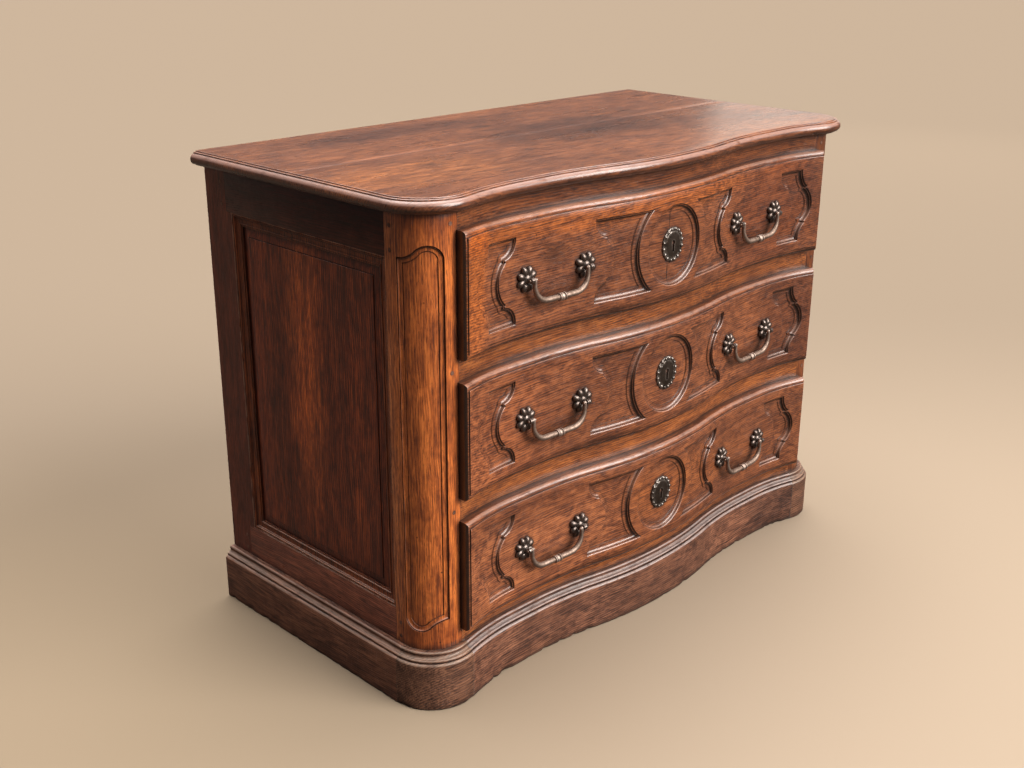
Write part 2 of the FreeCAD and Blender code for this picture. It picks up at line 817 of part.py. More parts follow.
def handle_frame(middle_z):
    """Placement of the right handle: its X joins the two eyes, and its -Y stands out of the face."""
    ends = [cartouche_centre - rosette_spacing / 2, cartouche_centre + rosette_spacing / 2]
    near, distant = [V(x, front_y(x, front_proud), 0) for x in ends]
    way = distant - near
    turn = math.degrees(math.atan2(way.y, way.x))
    middle = (near + distant) / 2 + V(0, 0, middle_z)
    return FreeCAD.Placement(middle, FreeCAD.Rotation(V(0, 0, 1), turn)), way.Length / 2


def make_rosette(x, middle_z):
    """Petalled plate square to the face at one eye of the right handle."""
    step = rosette_radius
    slope = (front_y(x + step, front_proud) - front_y(x - step, front_proud)) / (2 * step)
    petals = scalloped(rosette_radius, rosette_radius, petal_count, petal_length)
    plate = outline(petals, lambda p: V(p[0], -rosette_off_wood, p[1])).extrude(V(0, -rosette_thickness, 0))
    boss_start = V(0, -rosette_off_wood - rosette_thickness, 0)
    boss = Part.makeCone(boss_radius, boss_radius / 2, boss_height, boss_start, V(0, -1, 0))
    rosette = plate.fuse(boss)
    turn = FreeCAD.Rotation(V(0, 0, 1), math.degrees(math.atan(slope)))
    rosette.Placement = FreeCAD.Placement(V(x, front_y(x, front_proud), middle_z), turn)
    return rosette


def make_handle(middle_z):
    """Right handle: two rosettes with their eyes, the studs' holes through the front, and the bail."""
    placement, half = handle_frame(middle_z)
    mounts = []
    holes = []
    for end in (-1, 1):
        x = cartouche_centre + end * rosette_spacing / 2
        u = end * half
        through = front_proud + front_inside + stud_back
        stud = Part.makeCylinder(stud_radius, eye_reach + through, V(u, -eye_reach, 0), V(0, 1, 0))
        eye = Part.makeCylinder(eye_radius, eye_length, V(u - eye_length / 2, -eye_reach, 0), V(1, 0, 0))
        nut_start = V(u, through - nut_thickness, 0)
        nut = Part.makeCylinder(nut_radius, nut_thickness, nut_start, V(0, 1, 0))
        bore_start = V(u - eye_length, -eye_reach, 0)
        bore = Part.makeCylinder(pin_radius + pin_clearance, 2 * eye_length, bore_start, V(1, 0, 0))
        metal = stud.multiFuse([eye, nut]).cut(bore)
        metal.Placement = placement
        mounts.append(metal.fuse(make_rosette(x, middle_z)).cut(place_copy(bore, placement)))
        hole_start = V(u, -stud_back, 0)
        hole = Part.makeCylinder(stud_radius + stud_clearance, through + stud_back, hole_start, V(0, 1, 0))
        holes.append(place_copy(hole, placement))
    arm = half - eye_length / 2 - rod_to_eye - rod_radius
    turn = bail_corner_radius
    low = -bail_drop
    bend = low + turn
    rods = [Part.makeCylinder(rod_radius, 2 * (arm - turn), V(turn - arm, 0, low), V(1, 0, 0))]
    for side in (-1, 1):
        rods.append(Part.makeCylinder(rod_radius, rod_radius - bend, V(side * arm, 0, bend), V(0, 0, 1)))
        section = Part.Face(Part.Wire(Part.makeCircle(rod_radius, V(side * arm, 0, bend), V(0, 0, -1))))
        rods.append(section.revolve(V(side * (arm - turn), 0, bend), V(0, side, 0), 90))
    pin_length = rod_radius + rod_to_eye + eye_length + pin_radius
    pins = []
    collars = []
    for side in (-1, 1):
        pins.append(Part.makeCylinder(pin_radius, pin_length, V(side * arm, 0, 0), V(side, 0, 0)))
        collar_start = V(side * collar_spacing - collar_width / 2, 0, low)
        collars.append(Part.makeCylinder(collar_radius, collar_width, collar_start, V(1, 0, 0)))
    knop = Part.makeSphere(knop_radius, V(0, 0, low), V(1, 0, 0))
    bail = rods[0].multiFuse(rods[1:] + pins + collars + [knop])
    bail.translate(V(0, -eye_reach, 0))
    bail.Placement = placement.multiply(bail.Placement)
    return Part.makeCompound(mounts), bail, Part.makeCompound(holes)


def place_copy(shape, placement):
    placed = shape.copy()
    placed.Placement = placement
    return placed


def make_drawer(level):
    """One drawer, its lock and its handles. Returns the mortise its bolt needs in the rail above."""
    name = "drawer_" + level
    low, high = drawer_levels[level]
    low_in, high_in = opening(level)
    middle_z = (low + high) / 2 - carve_below_middle
    side = drawer_side(low_in + side_clearance, high_in - side_lower)
    reach = inside_half_width + groove_depth
    bottom_low = low_in + side_clearance + drawer_bottom_rise
    bottom_high = bottom_low + drawer_bottom
    bottom = box((-reach, reach), (-far, drawer_back_y), (bottom_low, bottom_high))
    bottom = bottom.common(block(groove_depth - front_inside, 0, height))
    back_span = (drawer_back_y - drawer_back_board, drawer_back_y)
    back = box((-reach, reach), back_span, (bottom_high, high_in - drawer_back_lower))
    side = side.cut(Part.makeCompound([bottom, back]))
    key_z = middle_z + key_above_middle
    lock, bolt, keeper, keyhole = make_lock(key_z, high_in - front_clearance)
    mounts, bail, holes = make_handle(middle_z)
    joints = Part.makeCompound([side, mirrored(side), bottom, lock, keyhole, holes, mirrored(holes)])
    front = front_blank(low, high).cut(carving_cutter(middle_z)).cut(joints)
    keep(front, name + "_front")
    keep(side, name + "_side_right")
    keep(mirrored(side), name + "_side_left")
    keep(back, name + "_back")
    keep(bottom, name + "_bottom")
    keep(make_escutcheon(middle_z), name + "_escutcheon")
    keep(lock, name + "_lock")
    keep(bolt, name + "_lock_bolt")
    keep(Part.makeCompound([mounts, mirrored(mounts)]), name + "_handle_mounts")
    keep(bail, name + "_bail_right")
    keep(mirrored(bail), name + "_bail_left")
    return keeper


os.makedirs("parts", exist_ok=True)
keepers = [make_drawer(level) for level in drawer_levels]
make_top()
make_plinth()
make_frame(Part.makeCompound(keepers))
print(len(written), "sub-parts")
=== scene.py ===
import math

import bmesh
import bpy
from mathutils import Matrix, Vector, noise


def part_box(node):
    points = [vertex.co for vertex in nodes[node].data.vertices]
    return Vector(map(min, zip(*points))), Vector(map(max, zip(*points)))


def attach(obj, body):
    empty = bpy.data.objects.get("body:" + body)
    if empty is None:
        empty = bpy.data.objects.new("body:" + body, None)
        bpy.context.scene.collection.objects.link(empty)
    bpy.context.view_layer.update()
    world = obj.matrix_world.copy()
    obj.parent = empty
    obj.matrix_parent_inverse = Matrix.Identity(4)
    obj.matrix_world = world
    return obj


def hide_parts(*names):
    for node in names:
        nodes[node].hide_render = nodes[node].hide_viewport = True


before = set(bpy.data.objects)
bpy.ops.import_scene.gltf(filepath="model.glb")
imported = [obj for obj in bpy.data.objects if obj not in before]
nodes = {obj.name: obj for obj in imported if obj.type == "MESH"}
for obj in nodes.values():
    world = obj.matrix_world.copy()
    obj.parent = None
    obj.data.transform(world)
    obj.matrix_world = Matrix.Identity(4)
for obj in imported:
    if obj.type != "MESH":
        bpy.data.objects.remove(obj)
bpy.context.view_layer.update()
mm = 0.001
sides = ((-1, "left"), (1, "right"))
nearly = 0.01                   # millimetres, for finding what lies on a plane
same = 1e-6
tiny = 1e-9

# Plan of the front in millimetres: a bow in the middle, a hollow each side, rounded ears
plan = {
    "halfWidth": 605.0,
    "bowY": -296.25,
    "bowProjection": 33.5,
    "earProjection": 21.5,
    "hollowStart": 335.0,
    "bowRadius": 860.0,
    "earHollowRadius": 491.0,
    "cornerRadius": 64.0,
    "postBackY": -195.75,
    "backY": 324.25,
    "underTop": 905.0,
    "openingHalf": 524.0,
}

hollowY = plan["bowY"] + plan["bowProjection"]
earY = hollowY - plan["earProjection"]
cornerX = plan["halfWidth"] - plan["cornerRadius"]
cornerY = earY + plan["cornerRadius"]
bowAndFlank = (plan["hollowStart"] ** 2 + plan["bowProjection"] ** 2) / (2 * plan["bowProjection"])
bowAngle = 2 * math.atan(plan["bowProjection"] / plan["hollowStart"])
flankRadius = bowAndFlank - plan["bowRadius"]
earAndCorner = plan["cornerRadius"] + plan["earHollowRadius"]
earAngle = math.acos(1 - plan["earProjection"] / earAndCorner)
earHollowX = cornerX - earAndCorner * math.sin(earAngle)
crownX = cornerX - plan["cornerRadius"] * math.sin(earAngle)


def frontY(x, out=0.0):
    # Y of the front at a distance from the middle, set off outwards
    x = abs(x)
    if x <= plan["bowRadius"] * math.sin(bowAngle):
        return plan["bowY"] + plan["bowRadius"] - math.sqrt((plan["bowRadius"] + out) ** 2 - x * x)
    if x <= plan["hollowStart"]:
        across = plan["hollowStart"] - x
        return hollowY - flankRadius + math.sqrt((flankRadius - out) ** 2 - across ** 2)
    if x <= earHollowX:
        return hollowY - out
    if x <= crownX:
        reach = plan["earHollowRadius"]
        return hollowY - reach + math.sqrt((reach - out) ** 2 - (x - earHollowX) ** 2)
    return cornerY - math.sqrt((plan["cornerRadius"] + out) ** 2 - (min(x, cornerX) - cornerX) ** 2)


# The same curve by distance along it: (length, centre, radius, start angle, turn) or (length, start, way)
down = -math.pi / 2
planRuns = [
    (plan["bowRadius"] * bowAngle, (0, plan["bowY"] + plan["bowRadius"]), plan["bowRadius"], down, 1),
    (flankRadius * bowAngle, (plan["hollowStart"], hollowY - flankRadius), flankRadius, -down + bowAngle, -1),
    (earHollowX - plan["hollowStart"], (plan["hollowStart"], hollowY), None, 1, 0),
    (plan["earHollowRadius"] * earAngle, (earHollowX, hollowY - plan["earHollowRadius"]),
     plan["earHollowRadius"], -down, -1),
    (plan["cornerRadius"] * (earAngle - down), (cornerX, cornerY), plan["cornerRadius"], down - earAngle, 1),
    (plan["backY"] - cornerY, (plan["halfWidth"], cornerY), None, 0, 1),
]
alongCorner = sum(run[0] for run in planRuns[:4])
alongSide = sum(run[0] for run in planRuns[:5])
alongBack = sum(run[0] for run in planRuns)


def planPoint(along, out):
    # Point set off outwards from the carcass, by the distance along the front and round to the back
    side = 1 if along >= 0 else -1
    left = abs(along)
    for length, start, radius, first, second in planRuns:
        if left <= length or length == planRuns[-1][0]:
            break
        left -= length
    if radius is None:
        x, y = start[0] + first * left + second * out, start[1] + second * left - first * out
    else:
        angle, reach = first + second * left / radius, radius + second * out
        x, y = start[0] + reach * math.cos(angle), start[1] + reach * math.sin(angle)
    return Vector((side * x, y))


def circleThrough(start, through, end):
    # Centre of the circle through three points, and the way it turns
    ax, ay, bx, by, cx, cy = *start, *through, *end
    d = 2 * (ax * (by - cy) + bx * (cy - ay) + cx * (ay - by))
    a2, b2, c2 = ax * ax + ay * ay, bx * bx + by * by, cx * cx + cy * cy
    centre = ((a2 * (by - cy) + b2 * (cy - ay) + c2 * (ay - by)) / d,
              (a2 * (cx - bx) + b2 * (ax - cx) + c2 * (bx - ax)) / d)
    return centre, (1 if d > 0 else -1)


def arcSteps(start, through, end, count):
    # Points of the arc through three points, without the first
    x, y = circleThrough(start, through, end)[0]
    angles = [math.atan2(p[1] - y, p[0] - x) for p in (start, through, end)]
    turn = (angles[2] - angles[0]) % (2 * math.pi)
    if (angles[1] - angles[0]) % (2 * math.pi) > turn:
        turn -= 2 * math.pi
    radius = math.hypot(start[0] - x, start[1] - y)
    steps = [angles[0] + turn * (i + 1) / count for i in range(count)]
    return [(x + radius * math.cos(a), y + radius * math.sin(a)) for a in steps]


def arcCount(start, through, end, spacing):
    return max(4, round((math.dist(start, through) + math.dist(through, end)) / spacing))


def traced(steps, spacing=3.0):
    # Closed outline from points and (through, end) pairs for arcs
    points = [steps[0]]
    for step in steps[1:]:
        if isinstance(step[0], tuple):
            points += arcSteps(points[-1], *step, arcCount(points[-1], *step, spacing))
        else:
            points.append(step)
    if math.dist(points[0], points[-1]) < same:
        points.pop()
    return points


def bulge(start, end, sag):
    # Arc step whose middle lies sag to the left of the way from start to end
    dx, dz = end[0] - start[0], end[1] - start[1]
    length = math.hypot(dx, dz)
    return (((start[0] + end[0]) / 2 - dz / length * sag, (start[1] + end[1]) / 2 + dx / length * sag), end)


class Outline:
    # A closed outline of lines and arcs that can be drawn again further in, mitred at its corners

    def __init__(self, steps, spacing=3.0, roundFrom=100.0):
        parts, at = [], steps[0]
        for step in steps[1:] + [steps[0]]:
            through, end = step if isinstance(step[0], tuple) else (None, step)
            length = math.dist(at, end)
            if length < same:
                continue
            part = {"centre": None, "sign": 0, "start": at, "end": end, "count": 1}
            if through:
                part["centre"], part["sign"] = circleThrough(at, through, end)
                part["radius"] = math.dist(part["centre"], at)
                part["count"] = arcCount(at, through, end, spacing)
            else:
                part["way"] = ((end[0] - at[0]) / length, (end[1] - at[1]) / length)
            parts.append(part)
            at = end
        area = sum(p["start"][0] * p["end"][1] - p["end"][0] * p["start"][1] for p in parts)
        if area < 0:
            parts.reverse()
            for p in parts:
                p["start"], p["end"], p["sign"] = p["end"], p["start"], -p["sign"]
                if p["centre"] is None:
                    p["way"] = (-p["way"][0], -p["way"][1])
        self.parts = []
        for p, q in zip(parts, parts[1:] + parts[:1]):
            self.parts.append(p)
            before, after = self.wayAt(p, p["end"]), self.wayAt(q, q["start"])
            turn = math.degrees(math.atan2(before[0] * after[1] - before[1] * after[0],
                                           before[0] * after[0] + before[1] * after[1]))
            if turn < -roundFrom:
                self.parts.append({"centre": p["end"], "radius": 0.0, "sign": -1, "start": p["end"],
                                   "end": p["end"], "count": 5})

    def wayAt(self, part, place):
        if part["centre"] is None:
            return part["way"]
        x, y = place[0] - part["centre"][0], place[1] - part["centre"][1]
        return (-y * part["sign"], x * part["sign"])

    def moved(self, line, inset):
        return (line["start"][0] - line["way"][1] * inset, line["start"][1] + line["way"][0] * inset)

    def reach(self, arc, inset):
        return max(0.0, arc["radius"] - arc["sign"] * inset)

    def sweep(self, part, start, end):
        cx, cy = part["centre"]
        turn = math.atan2(end[1] - cy, end[0] - cx) - math.atan2(start[1] - cy, start[0] - cx)
        return (turn + math.pi) % (2 * math.pi) - math.pi

    def cross(self, p, q, inset, near):
        # Where two parts meet once both are moved inwards, nearest to a place
        if p["centre"] is None and q["centre"] is None:
            (ax, ay), (bx, by) = self.moved(p, inset), self.moved(q, inset)
            (ux, uy), (vx, vy) = p["way"], q["way"]
            det = ux * vy - uy * vx
            if abs(det) < tiny:
                return near
            t = ((bx - ax) * vy - (by - ay) * vx) / det
            return (ax + ux * t, ay + uy * t)
        if p["centre"] is None or q["centre"] is None:
            line, arc = (p, q) if p["centre"] is None else (q, p)
            (ax, ay), (ux, uy) = self.moved(line, inset), line["way"]
            cx, cy = arc["centre"]
            t = (cx - ax) * ux + (cy - ay) * uy
            fx, fy = ax + ux * t, ay + uy * t
            h = math.sqrt(max(0.0, self.reach(arc, inset) ** 2 - (fx - cx) ** 2 - (fy - cy) ** 2))
            found = [(fx + ux * h, fy + uy * h), (fx - ux * h, fy - uy * h)]
        else:
            (ax, ay), (bx, by) = p["centre"], q["centre"]
            r1, r2 = self.reach(p, inset), self.reach(q, inset)
            gap = math.hypot(bx - ax, by - ay)
            if gap < tiny:
                return near
            t = (r1 ** 2 - r2 ** 2 + gap ** 2) / (2 * gap)
            h = math.sqrt(max(0.0, r1 ** 2 - t ** 2))
            ux, uy = (bx - ax) / gap, (by - ay) / gap
            fx, fy = ax + ux * t, ay + uy * t
            found = [(fx - uy * h, fy + ux * h), (fx + uy * h, fy - ux * h)]
        return min(found, key=lambda place: math.dist(place, near))

    def left(self, part, start, end, inset):
        # How much of a part remains between its corners
        if part["centre"] is None:
            return (end[0] - start[0]) * part["way"][0] + (end[1] - start[1]) * part["way"][1]
        return self.sweep(part, start, end) * part["sign"] if self.reach(part, inset) > 0 else -1.0

    def dropVanished(self, live, corner, inset):
        # Take out the parts that have shrunk to nothing, and join their neighbours
        while True:
            gone = next((p for before, p in zip(live[-1:] + live[:-1], live)
                         if self.left(p, corner[id(before)], corner[id(p)], inset) < -1e-7), None)
            if gone is None:
                return
            i = live.index(gone)
            before, after = live[i - 1], live[(i + 1) % len(live)]
            a, b = corner[id(before)], corner[id(gone)]
            live.remove(gone)
            corner[id(before)] = self.cross(before, after, inset, ((a[0] + b[0]) / 2, (a[1] + b[1]) / 2))

    def drawn(self, live, corner, inset):
        # As many points as ever: a part that has vanished gives its corner again and again
        ring, alive = [], {id(p) for p in live}
        for i, p in enumerate(self.parts):
            earlier = (id(self.parts[i - back - 1]) for back in range(len(self.parts)))
            start = corner[next(key for key in earlier if key in alive)]
            if id(p) not in alive or p["centre"] is None:
                ring += [start] * p["count"]
                continue
            (cx, cy), reach = p["centre"], self.reach(p, inset)
            first, turn = math.atan2(start[1] - cy, start[0] - cx), self.sweep(p, start, corner[id(p)])
            angles = [first + turn * (k / p["count"]) for k in range(p["count"])]
            ring += [(cx + reach * math.cos(a), cy + reach * math.sin(a)) for a in angles]
        return ring

    def rings(self, insets, step=0.4):
        # The outline at each of these distances inwards
        live = list(self.parts)
        corner = {id(p): p["end"] for p in live}
        at, made = 0.0, []
        for inset in insets:
            while at < inset - tiny:
                at = min(inset, at + step)
                corner = {id(p): self.cross(p, q, at, corner[id(p)])
                          for p, q in zip(live, live[1:] + live[:1])}
                self.dropVanished(live, corner, at)
            made.append(self.drawn(live, corner, at))
        return made


def fillLoops(mesh, edges, way=-1):
    bmesh.ops.triangle_fill(mesh, use_beauty=True, use_dissolve=False, edges=edges, normal=(0, way, 0))


def fillOpen(mesh):
    # Close what is open in a front, round the outlines sunk in it
    bmesh.ops.remove_doubles(mesh, verts=[v for v in mesh.verts if not v.is_manifold or not v.link_faces
                                          or v.is_boundary], dist=1e-4)
    fillLoops(mesh, [e for e in mesh.edges if e.is_boundary])


def faceOf(mesh, points):
    return mesh.faces.new([mesh.verts.new(point) for point in points])


def facingFront(face):
    face.normal_update()
    if face.normal.y > 0:
        face.normal_flip()
    return face


def flatFace(mesh, outline, y):
    # Face in a plane of one Y, looking to -Y
    return facingFront(faceOf(mesh, [(x, y, z) for x, z in outline]))


def sinkOutline(mesh, outline, steps, y, z, side=1):
    # Carve down through the (width, drop) steps
    insets = [0.0]
    for width, drop in steps:
        insets.append(insets[-1] + width)
    rings = outline.rings(insets)
    ordered = [mesh.verts.new((side * x, y, h + z)) for x, h in rings[0]]
    face = facingFront(mesh.faces.new(ordered))
    for ring, (width, drop) in zip(rings[1:], steps):
        y += drop
        old = list(face.verts)
        face = bmesh.ops.extrude_discrete_faces(mesh, faces=[face])["faces"][0]
        follow = dict(zip(old, face.verts))
        ordered = [follow[v] for v in ordered]
        for v, (x, h) in zip(ordered, ring):
            v.co = (side * x, y, h + z)
    bmesh.ops.triangulate(mesh, faces=[face], ngon_method="BEAUTY")


def quarterTurns(count):
    angles = [math.pi / 2 * i / count for i in range(count + 1)]
    return list(zip(angles, angles[1:]))


def quarterRound(radius, count=5):
    # Inset steps (width, drop) of a convex quarter circle, from the face down
    return [(radius * (math.sin(b) - math.sin(a)), radius * (math.cos(a) - math.cos(b)))
            for a, b in quarterTurns(count)]


def cove(width, depth, count=6):
    # Inset steps of a concave quarter, steep first
    return [(width * (math.cos(a) - math.cos(b)), depth * (math.sin(b) - math.sin(a)))
            for a, b in quarterTurns(count)]


def insetSteps(mesh, face, steps):
    for width, drop in steps:
        bmesh.ops.inset_region(mesh, faces=[face], thickness=width, depth=-drop,
                               use_even_offset=True, use_boundary=True)
    return face


def block(mesh, low, high):
    size = [b - a for a, b in zip(low, high)]
    middle = Vector([(a + b) / 2 for a, b in zip(low, high)])
    bmesh.ops.create_cube(mesh, size=1.0, matrix=Matrix.Translation(middle) @ Matrix.Diagonal((*size, 1)))


def faceToward(mesh, way):
    return next(face for face in mesh.faces if face.normal.y * way > 0.9)


def extrude(mesh, face, way):
    # Run a face out into a prism, and give its far face
    run = bmesh.ops.extrude_face_region(mesh, geom=[face])["geom"]
    bmesh.ops.translate(mesh, vec=way, verts=[v for v in run if isinstance(v, bmesh.types.BMVert)])
    return next(f for f in run if isinstance(f, bmesh.types.BMFace))


def openFaces(mesh, *faces):
    bmesh.ops.delete(mesh, geom=faces, context="FACES_ONLY")


def cut(mesh, place, way, geom=None, **settings):
    return bmesh.ops.bisect_plane(mesh, geom=geom or mesh.verts[:] + mesh.edges[:] + mesh.faces[:], dist=1e-4,
                                  plane_co=place, plane_no=way, **settings)


def slices(mesh, axis, low, high, spacing):
    count = max(1, round((high - low) / spacing))
    way = Vector([1.0 if i == axis else 0.0 for i in range(3)])
    for i in range(1, count):
        cut(mesh, way * (low + (high - low) * i / count), way)


def ease(mesh, edges, offset):
    bmesh.ops.bevel(mesh, geom=edges, offset=offset, offset_type="OFFSET", segments=2, profile=0.5,
                    affect="EDGES", material=-1, clamp_overlap=True)


def takeIn(mesh, other, matrix=Matrix()):
    # Move all of another mesh into this one
    bmesh.ops.transform(other, matrix=matrix, verts=other.verts[:])
    data = bpy.data.meshes.new("taken")
    other.to_mesh(data)
    other.free()
    mesh.from_mesh(data)
    bpy.data.meshes.remove(data)


def unevenness(point, seed, size, amount=1.0):
    return amount * noise.noise(Vector(point) / size + Vector((seed * 7.3, seed * 3.1, seed * 5.7)))


def placeObject(name, data):
    made = bpy.data.objects.new(name, data)
    bpy.context.scene.collection.objects.link(made)
    return made


def finishPiece(mesh, name, body, material, replaced, smooth=32):
    bmesh.ops.remove_doubles(mesh, verts=mesh.verts[:], dist=1e-5)
    bmesh.ops.scale(mesh, vec=(mm, mm, mm), verts=mesh.verts[:])
    bmesh.ops.recalc_face_normals(mesh, faces=mesh.faces[:])
    data = bpy.data.meshes.new(name)
    mesh.to_mesh(data)
    mesh.free()
    data.shade_smooth()
    data.set_sharp_from_angle(angle=math.radians(smooth))
    data.materials.append(material)
    piece = placeObject(name, data)
    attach(piece, body)
    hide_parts(replaced)


class Graph:
    # Short hand for the nodes of one material or world; colours are given as (red, green, blue)

    def __init__(self, owner):
        owner.use_nodes = True
        self.owner = owner
        self.tree = owner.node_tree
        self.shader = self.tree.nodes.get("Principled BSDF")

    def node(self, kind, inputs=(), **settings):
        made = self.tree.nodes.new("ShaderNode" + kind)
        for key, value in settings.items():
            setattr(made, key, value)
        for key, value in dict(inputs).items():
            self.give(made.inputs[key], value)
        return made

    def give(self, socket, value):
        if isinstance(value, bpy.types.NodeSocket):
            self.tree.links.new(value, socket)
        else:
            socket.default_value = (*value, 1.0) if socket.type == "RGBA" else value

    def finish(self, inputs):
        for key, value in inputs.items():
            self.give(self.shader.inputs[key], value)

    def math(self, operation, a, b=0.0, clamp=False):
        return self.node("Math", {0: a, 1: b}, operation=operation, use_clamp=clamp).outputs[0]

    def add(self, a, b, clamp=False):
        return self.math("ADD", a, b, clamp)

    def sub(self, a, b):
        return self.math("SUBTRACT", a, b)

    def mul(self, a, b, clamp=False):
        return self.math("MULTIPLY", a, b, clamp)

    def off(self, value, clamp=False):
        return self.math("SUBTRACT", 1.0, value, clamp)

    def vector(self, operation, a, b=(0, 0, 0)):
        made = self.node("VectorMath", {0: a, 1: b}, operation=operation)
        return made.outputs["Value" if operation in ("LENGTH", "DISTANCE", "DOT_PRODUCT") else "Vector"]

    def mapping(self, vector, **changes):
        return self.node("Mapping", {"Vector": vector, **changes}).outputs[0]

    def mix(self, share, a, b, blend="MIX"):
        return self.node("Mix", {"Factor": share, 6: a, 7: b}, data_type="RGBA", blend_type=blend).outputs[2]

    def noise(self, vector, scale, detail=3.0, rough=0.55, distortion=0.0, output="Fac"):
        return self.node("TexNoise", {"Vector": vector, "Scale": scale, "Detail": detail,
                                      "Roughness": rough, "Distortion": distortion}).outputs[output]

    def fibre(self, vector, kind, scale=1.0):
        stretch, *settings = fibres[kind]
        return self.noise(self.mapping(vector, Scale=stretch), scale, *settings)

    def band(self, value, low, high):
        # 0 below low, 1 above high
        return self.node("MapRange", {"Value": value, "From Min": low, "From Max": high},
                         interpolation_type="SMOOTHSTEP").outputs["Result"]

    def span(self, value, kind):
        return self.band(value, *spans[kind])

    def around(self, value, amount):
        # Swing of a noise about nothing
        return self.mul(self.sub(value, 0.5), amount)

    def closed(self, distance, clamp=False, **settings):
        # How much of the space round a point is closed in
        return self.off(self.node("AmbientOcclusion", {"Distance": distance}, samples=8,
                                  **settings).outputs["AO"], clamp)

    def bump(self, height, strength, distance, **inputs):
        return self.node("Bump", {"Height": height, "Strength": strength, "Distance": distance,
                                  **inputs}).outputs[0]


# Noise drawn out along the fibres: stretch, detail, roughness, distortion
fibres = {
    "fine": ((18, 330, 330), 4.0, 0.62),
    "streak": ((3.2, 85, 85), 4.0, 0.62),
    "figure": ((14, 40, 40), 4.0, 0.6, 1.2),
    "pore": ((55, 800, 800), 2.0, 0.5),
    "curl": ((22, 34, 34), 6.0, 0.62, 2.4),
    "blotch": ((0.8, 1.9, 1.9), 6.0, 0.66, 0.6),
    "smear": ((4, 16, 16), 4.0, 0.65),
}

woodDefaults = {
    "grain": "X",               # direction of the fibres
    "heart": (0.0, 0.4, 0.35),  # from the heart of the log, metres
    "tilt": (0.0, 0.02, 0.015),
    # colour of dirt, also of painted shade under things and in creases
    "grime": (0.012, 0.006, 0.004),
    # colour of rubbed wear, also of painted highlights
    "worn": (0.56, 0.27, 0.18),
    "rings": 75.0,
    "ringStrength": 0.22,
    "sway": 0.036,
    "pores": 0.75,
    "poreFrom": 0.56,
    "blotches": 0.6,
    "blotchSize": 3.4,
    "knots": (),                # (x, y, z, size) in metres
    "stains": (),               # (centre, reach, tint) in metres: real stains, and patches of painted light and painted shade
    # how far and how strongly creases darken: dirt and painted shade
    "grimeReach": 0.012,
    "grimeStrength": 0.95,
    "creasePower": 0.85,
    "hazeReach": 0.028,         # smoke that spreads from the corners
    "haze": 0.0,
    "underDark": 0.75,          # painted shade on what faces this way
    "underWay": (0.0, 0.0, -1.0),
    "upWorn": 0.35,             # painted highlight where it faces this way
    "upWay": (0.0, 0.0, 1.0),
    "burl": 0.15,
    # lighter arrises: rubbed wear and painted highlight
    "wearReach": 0.006,
    "wearStrength": 0.45,
    "rough": 0.34,
    "coat": 0.65,
    "coatRough": 0.24,
    "coatIor": 1.6,
    "specular": 0.45,
    "bump": 0.5,
    "scratches": 0.15,
    "seed": 0.0,
}

# Where each effect starts and where it is complete
spans = {
    "poreRings": (0.0, 0.8),
    "blotch": (0.40, 0.66),
    "stain": (0.45, 1.1),
    "speck": (0.91, 0.95),
    "speckPatch": (0.54, 0.60),
    "rim": (0.42, 0.75),
    "rimPatch": (0.30, 0.62),
    "up": (0.22, 0.55),
    "upPatch": (0.15, 0.5),
    "level": (0.93, 0.985),
    "under": (0.10, 0.42),
    "haze": (0.04, 0.40),
    "scratch": (0.62, 0.72),
    "rust": (0.35, 0.7),
    "ironRim": (0.35, 0.8),
    "ironPatch": (0.3, 0.6),
}
tones = {"light": 0.32, "middle": 0.49, "dark": 0.68}
shares = {"streak": 0.45, "figure": 0.55, "fine": 0.8, "stainEdge": 0.9, "knot": 0.75, "speck": 0.8}
gloss = {"smear": 0.34, "pores": 0.2, "creases": 0.3}
relief = {"fine": 0.45, "pores": 0.8, "rings": 0.2, "grain": 0.0007, "hollow": 0.3, "hollowDeep": 0.004}
grainTurns = {"X": (0, 0, 0), "Y": (0, 0, math.pi / 2), "Z": (0, math.pi / 2, 0)}


def logPlace(g, place, look):
    # Metres from the heart of the log with X along the fibres, and the same in a log that wanders
    turned = g.mapping(place, Rotation=grainTurns[look["grain"]])
    shift = tuple(look["seed"] * k + h for k, h in zip((1.7, 0.013, 0.011), look["heart"]))
    board = g.mapping(turned, Rotation=look["tilt"], Location=shift)
    sway = g.noise(g.mapping(board, Scale=(1.0, 3.0, 3.0)), 2.2, 4.0, 0.52, output="Color")
    sway = g.vector("SUBTRACT", sway, (0.5, 0.5, 0.5))
    sway = g.vector("MULTIPLY", sway, (0.0, look["sway"], look["sway"]))
    return board, g.vector("ADD", board, sway)


def knotsAt(g, place, look):
    found = None
    for x, y, z, size in look["knots"]:
        away = g.vector("MULTIPLY", g.vector("SUBTRACT", place, (x, y, z)), (0.55, 1.0, 1.0))
        away = g.add(g.vector("LENGTH", away), g.mul(g.noise(place, 30.0), size * 0.8))
        mask = g.off(g.band(away, size * 0.45, size * 2.2))
        found = mask if found is None else g.math("MAXIMUM", found, mask)
    return found


def growthRings(g, log, knots, scale):
    place = g.mapping(log, Scale=(0.06, 1.0, 1.0))
    if knots is not None:
        place = g.vector("ADD", place, g.node("CombineXYZ", {1: g.mul(knots, 0.03)}).outputs[0])
    return g.node("TexWave", {"Vector": place, "Scale": scale, "Distortion": 3.0, "Detail": 3.0,
                              "Detail Scale": 0.6, "Detail Roughness": 0.6},
                  wave_type="RINGS", rings_direction="X", wave_profile="SAW").outputs["Fac"]


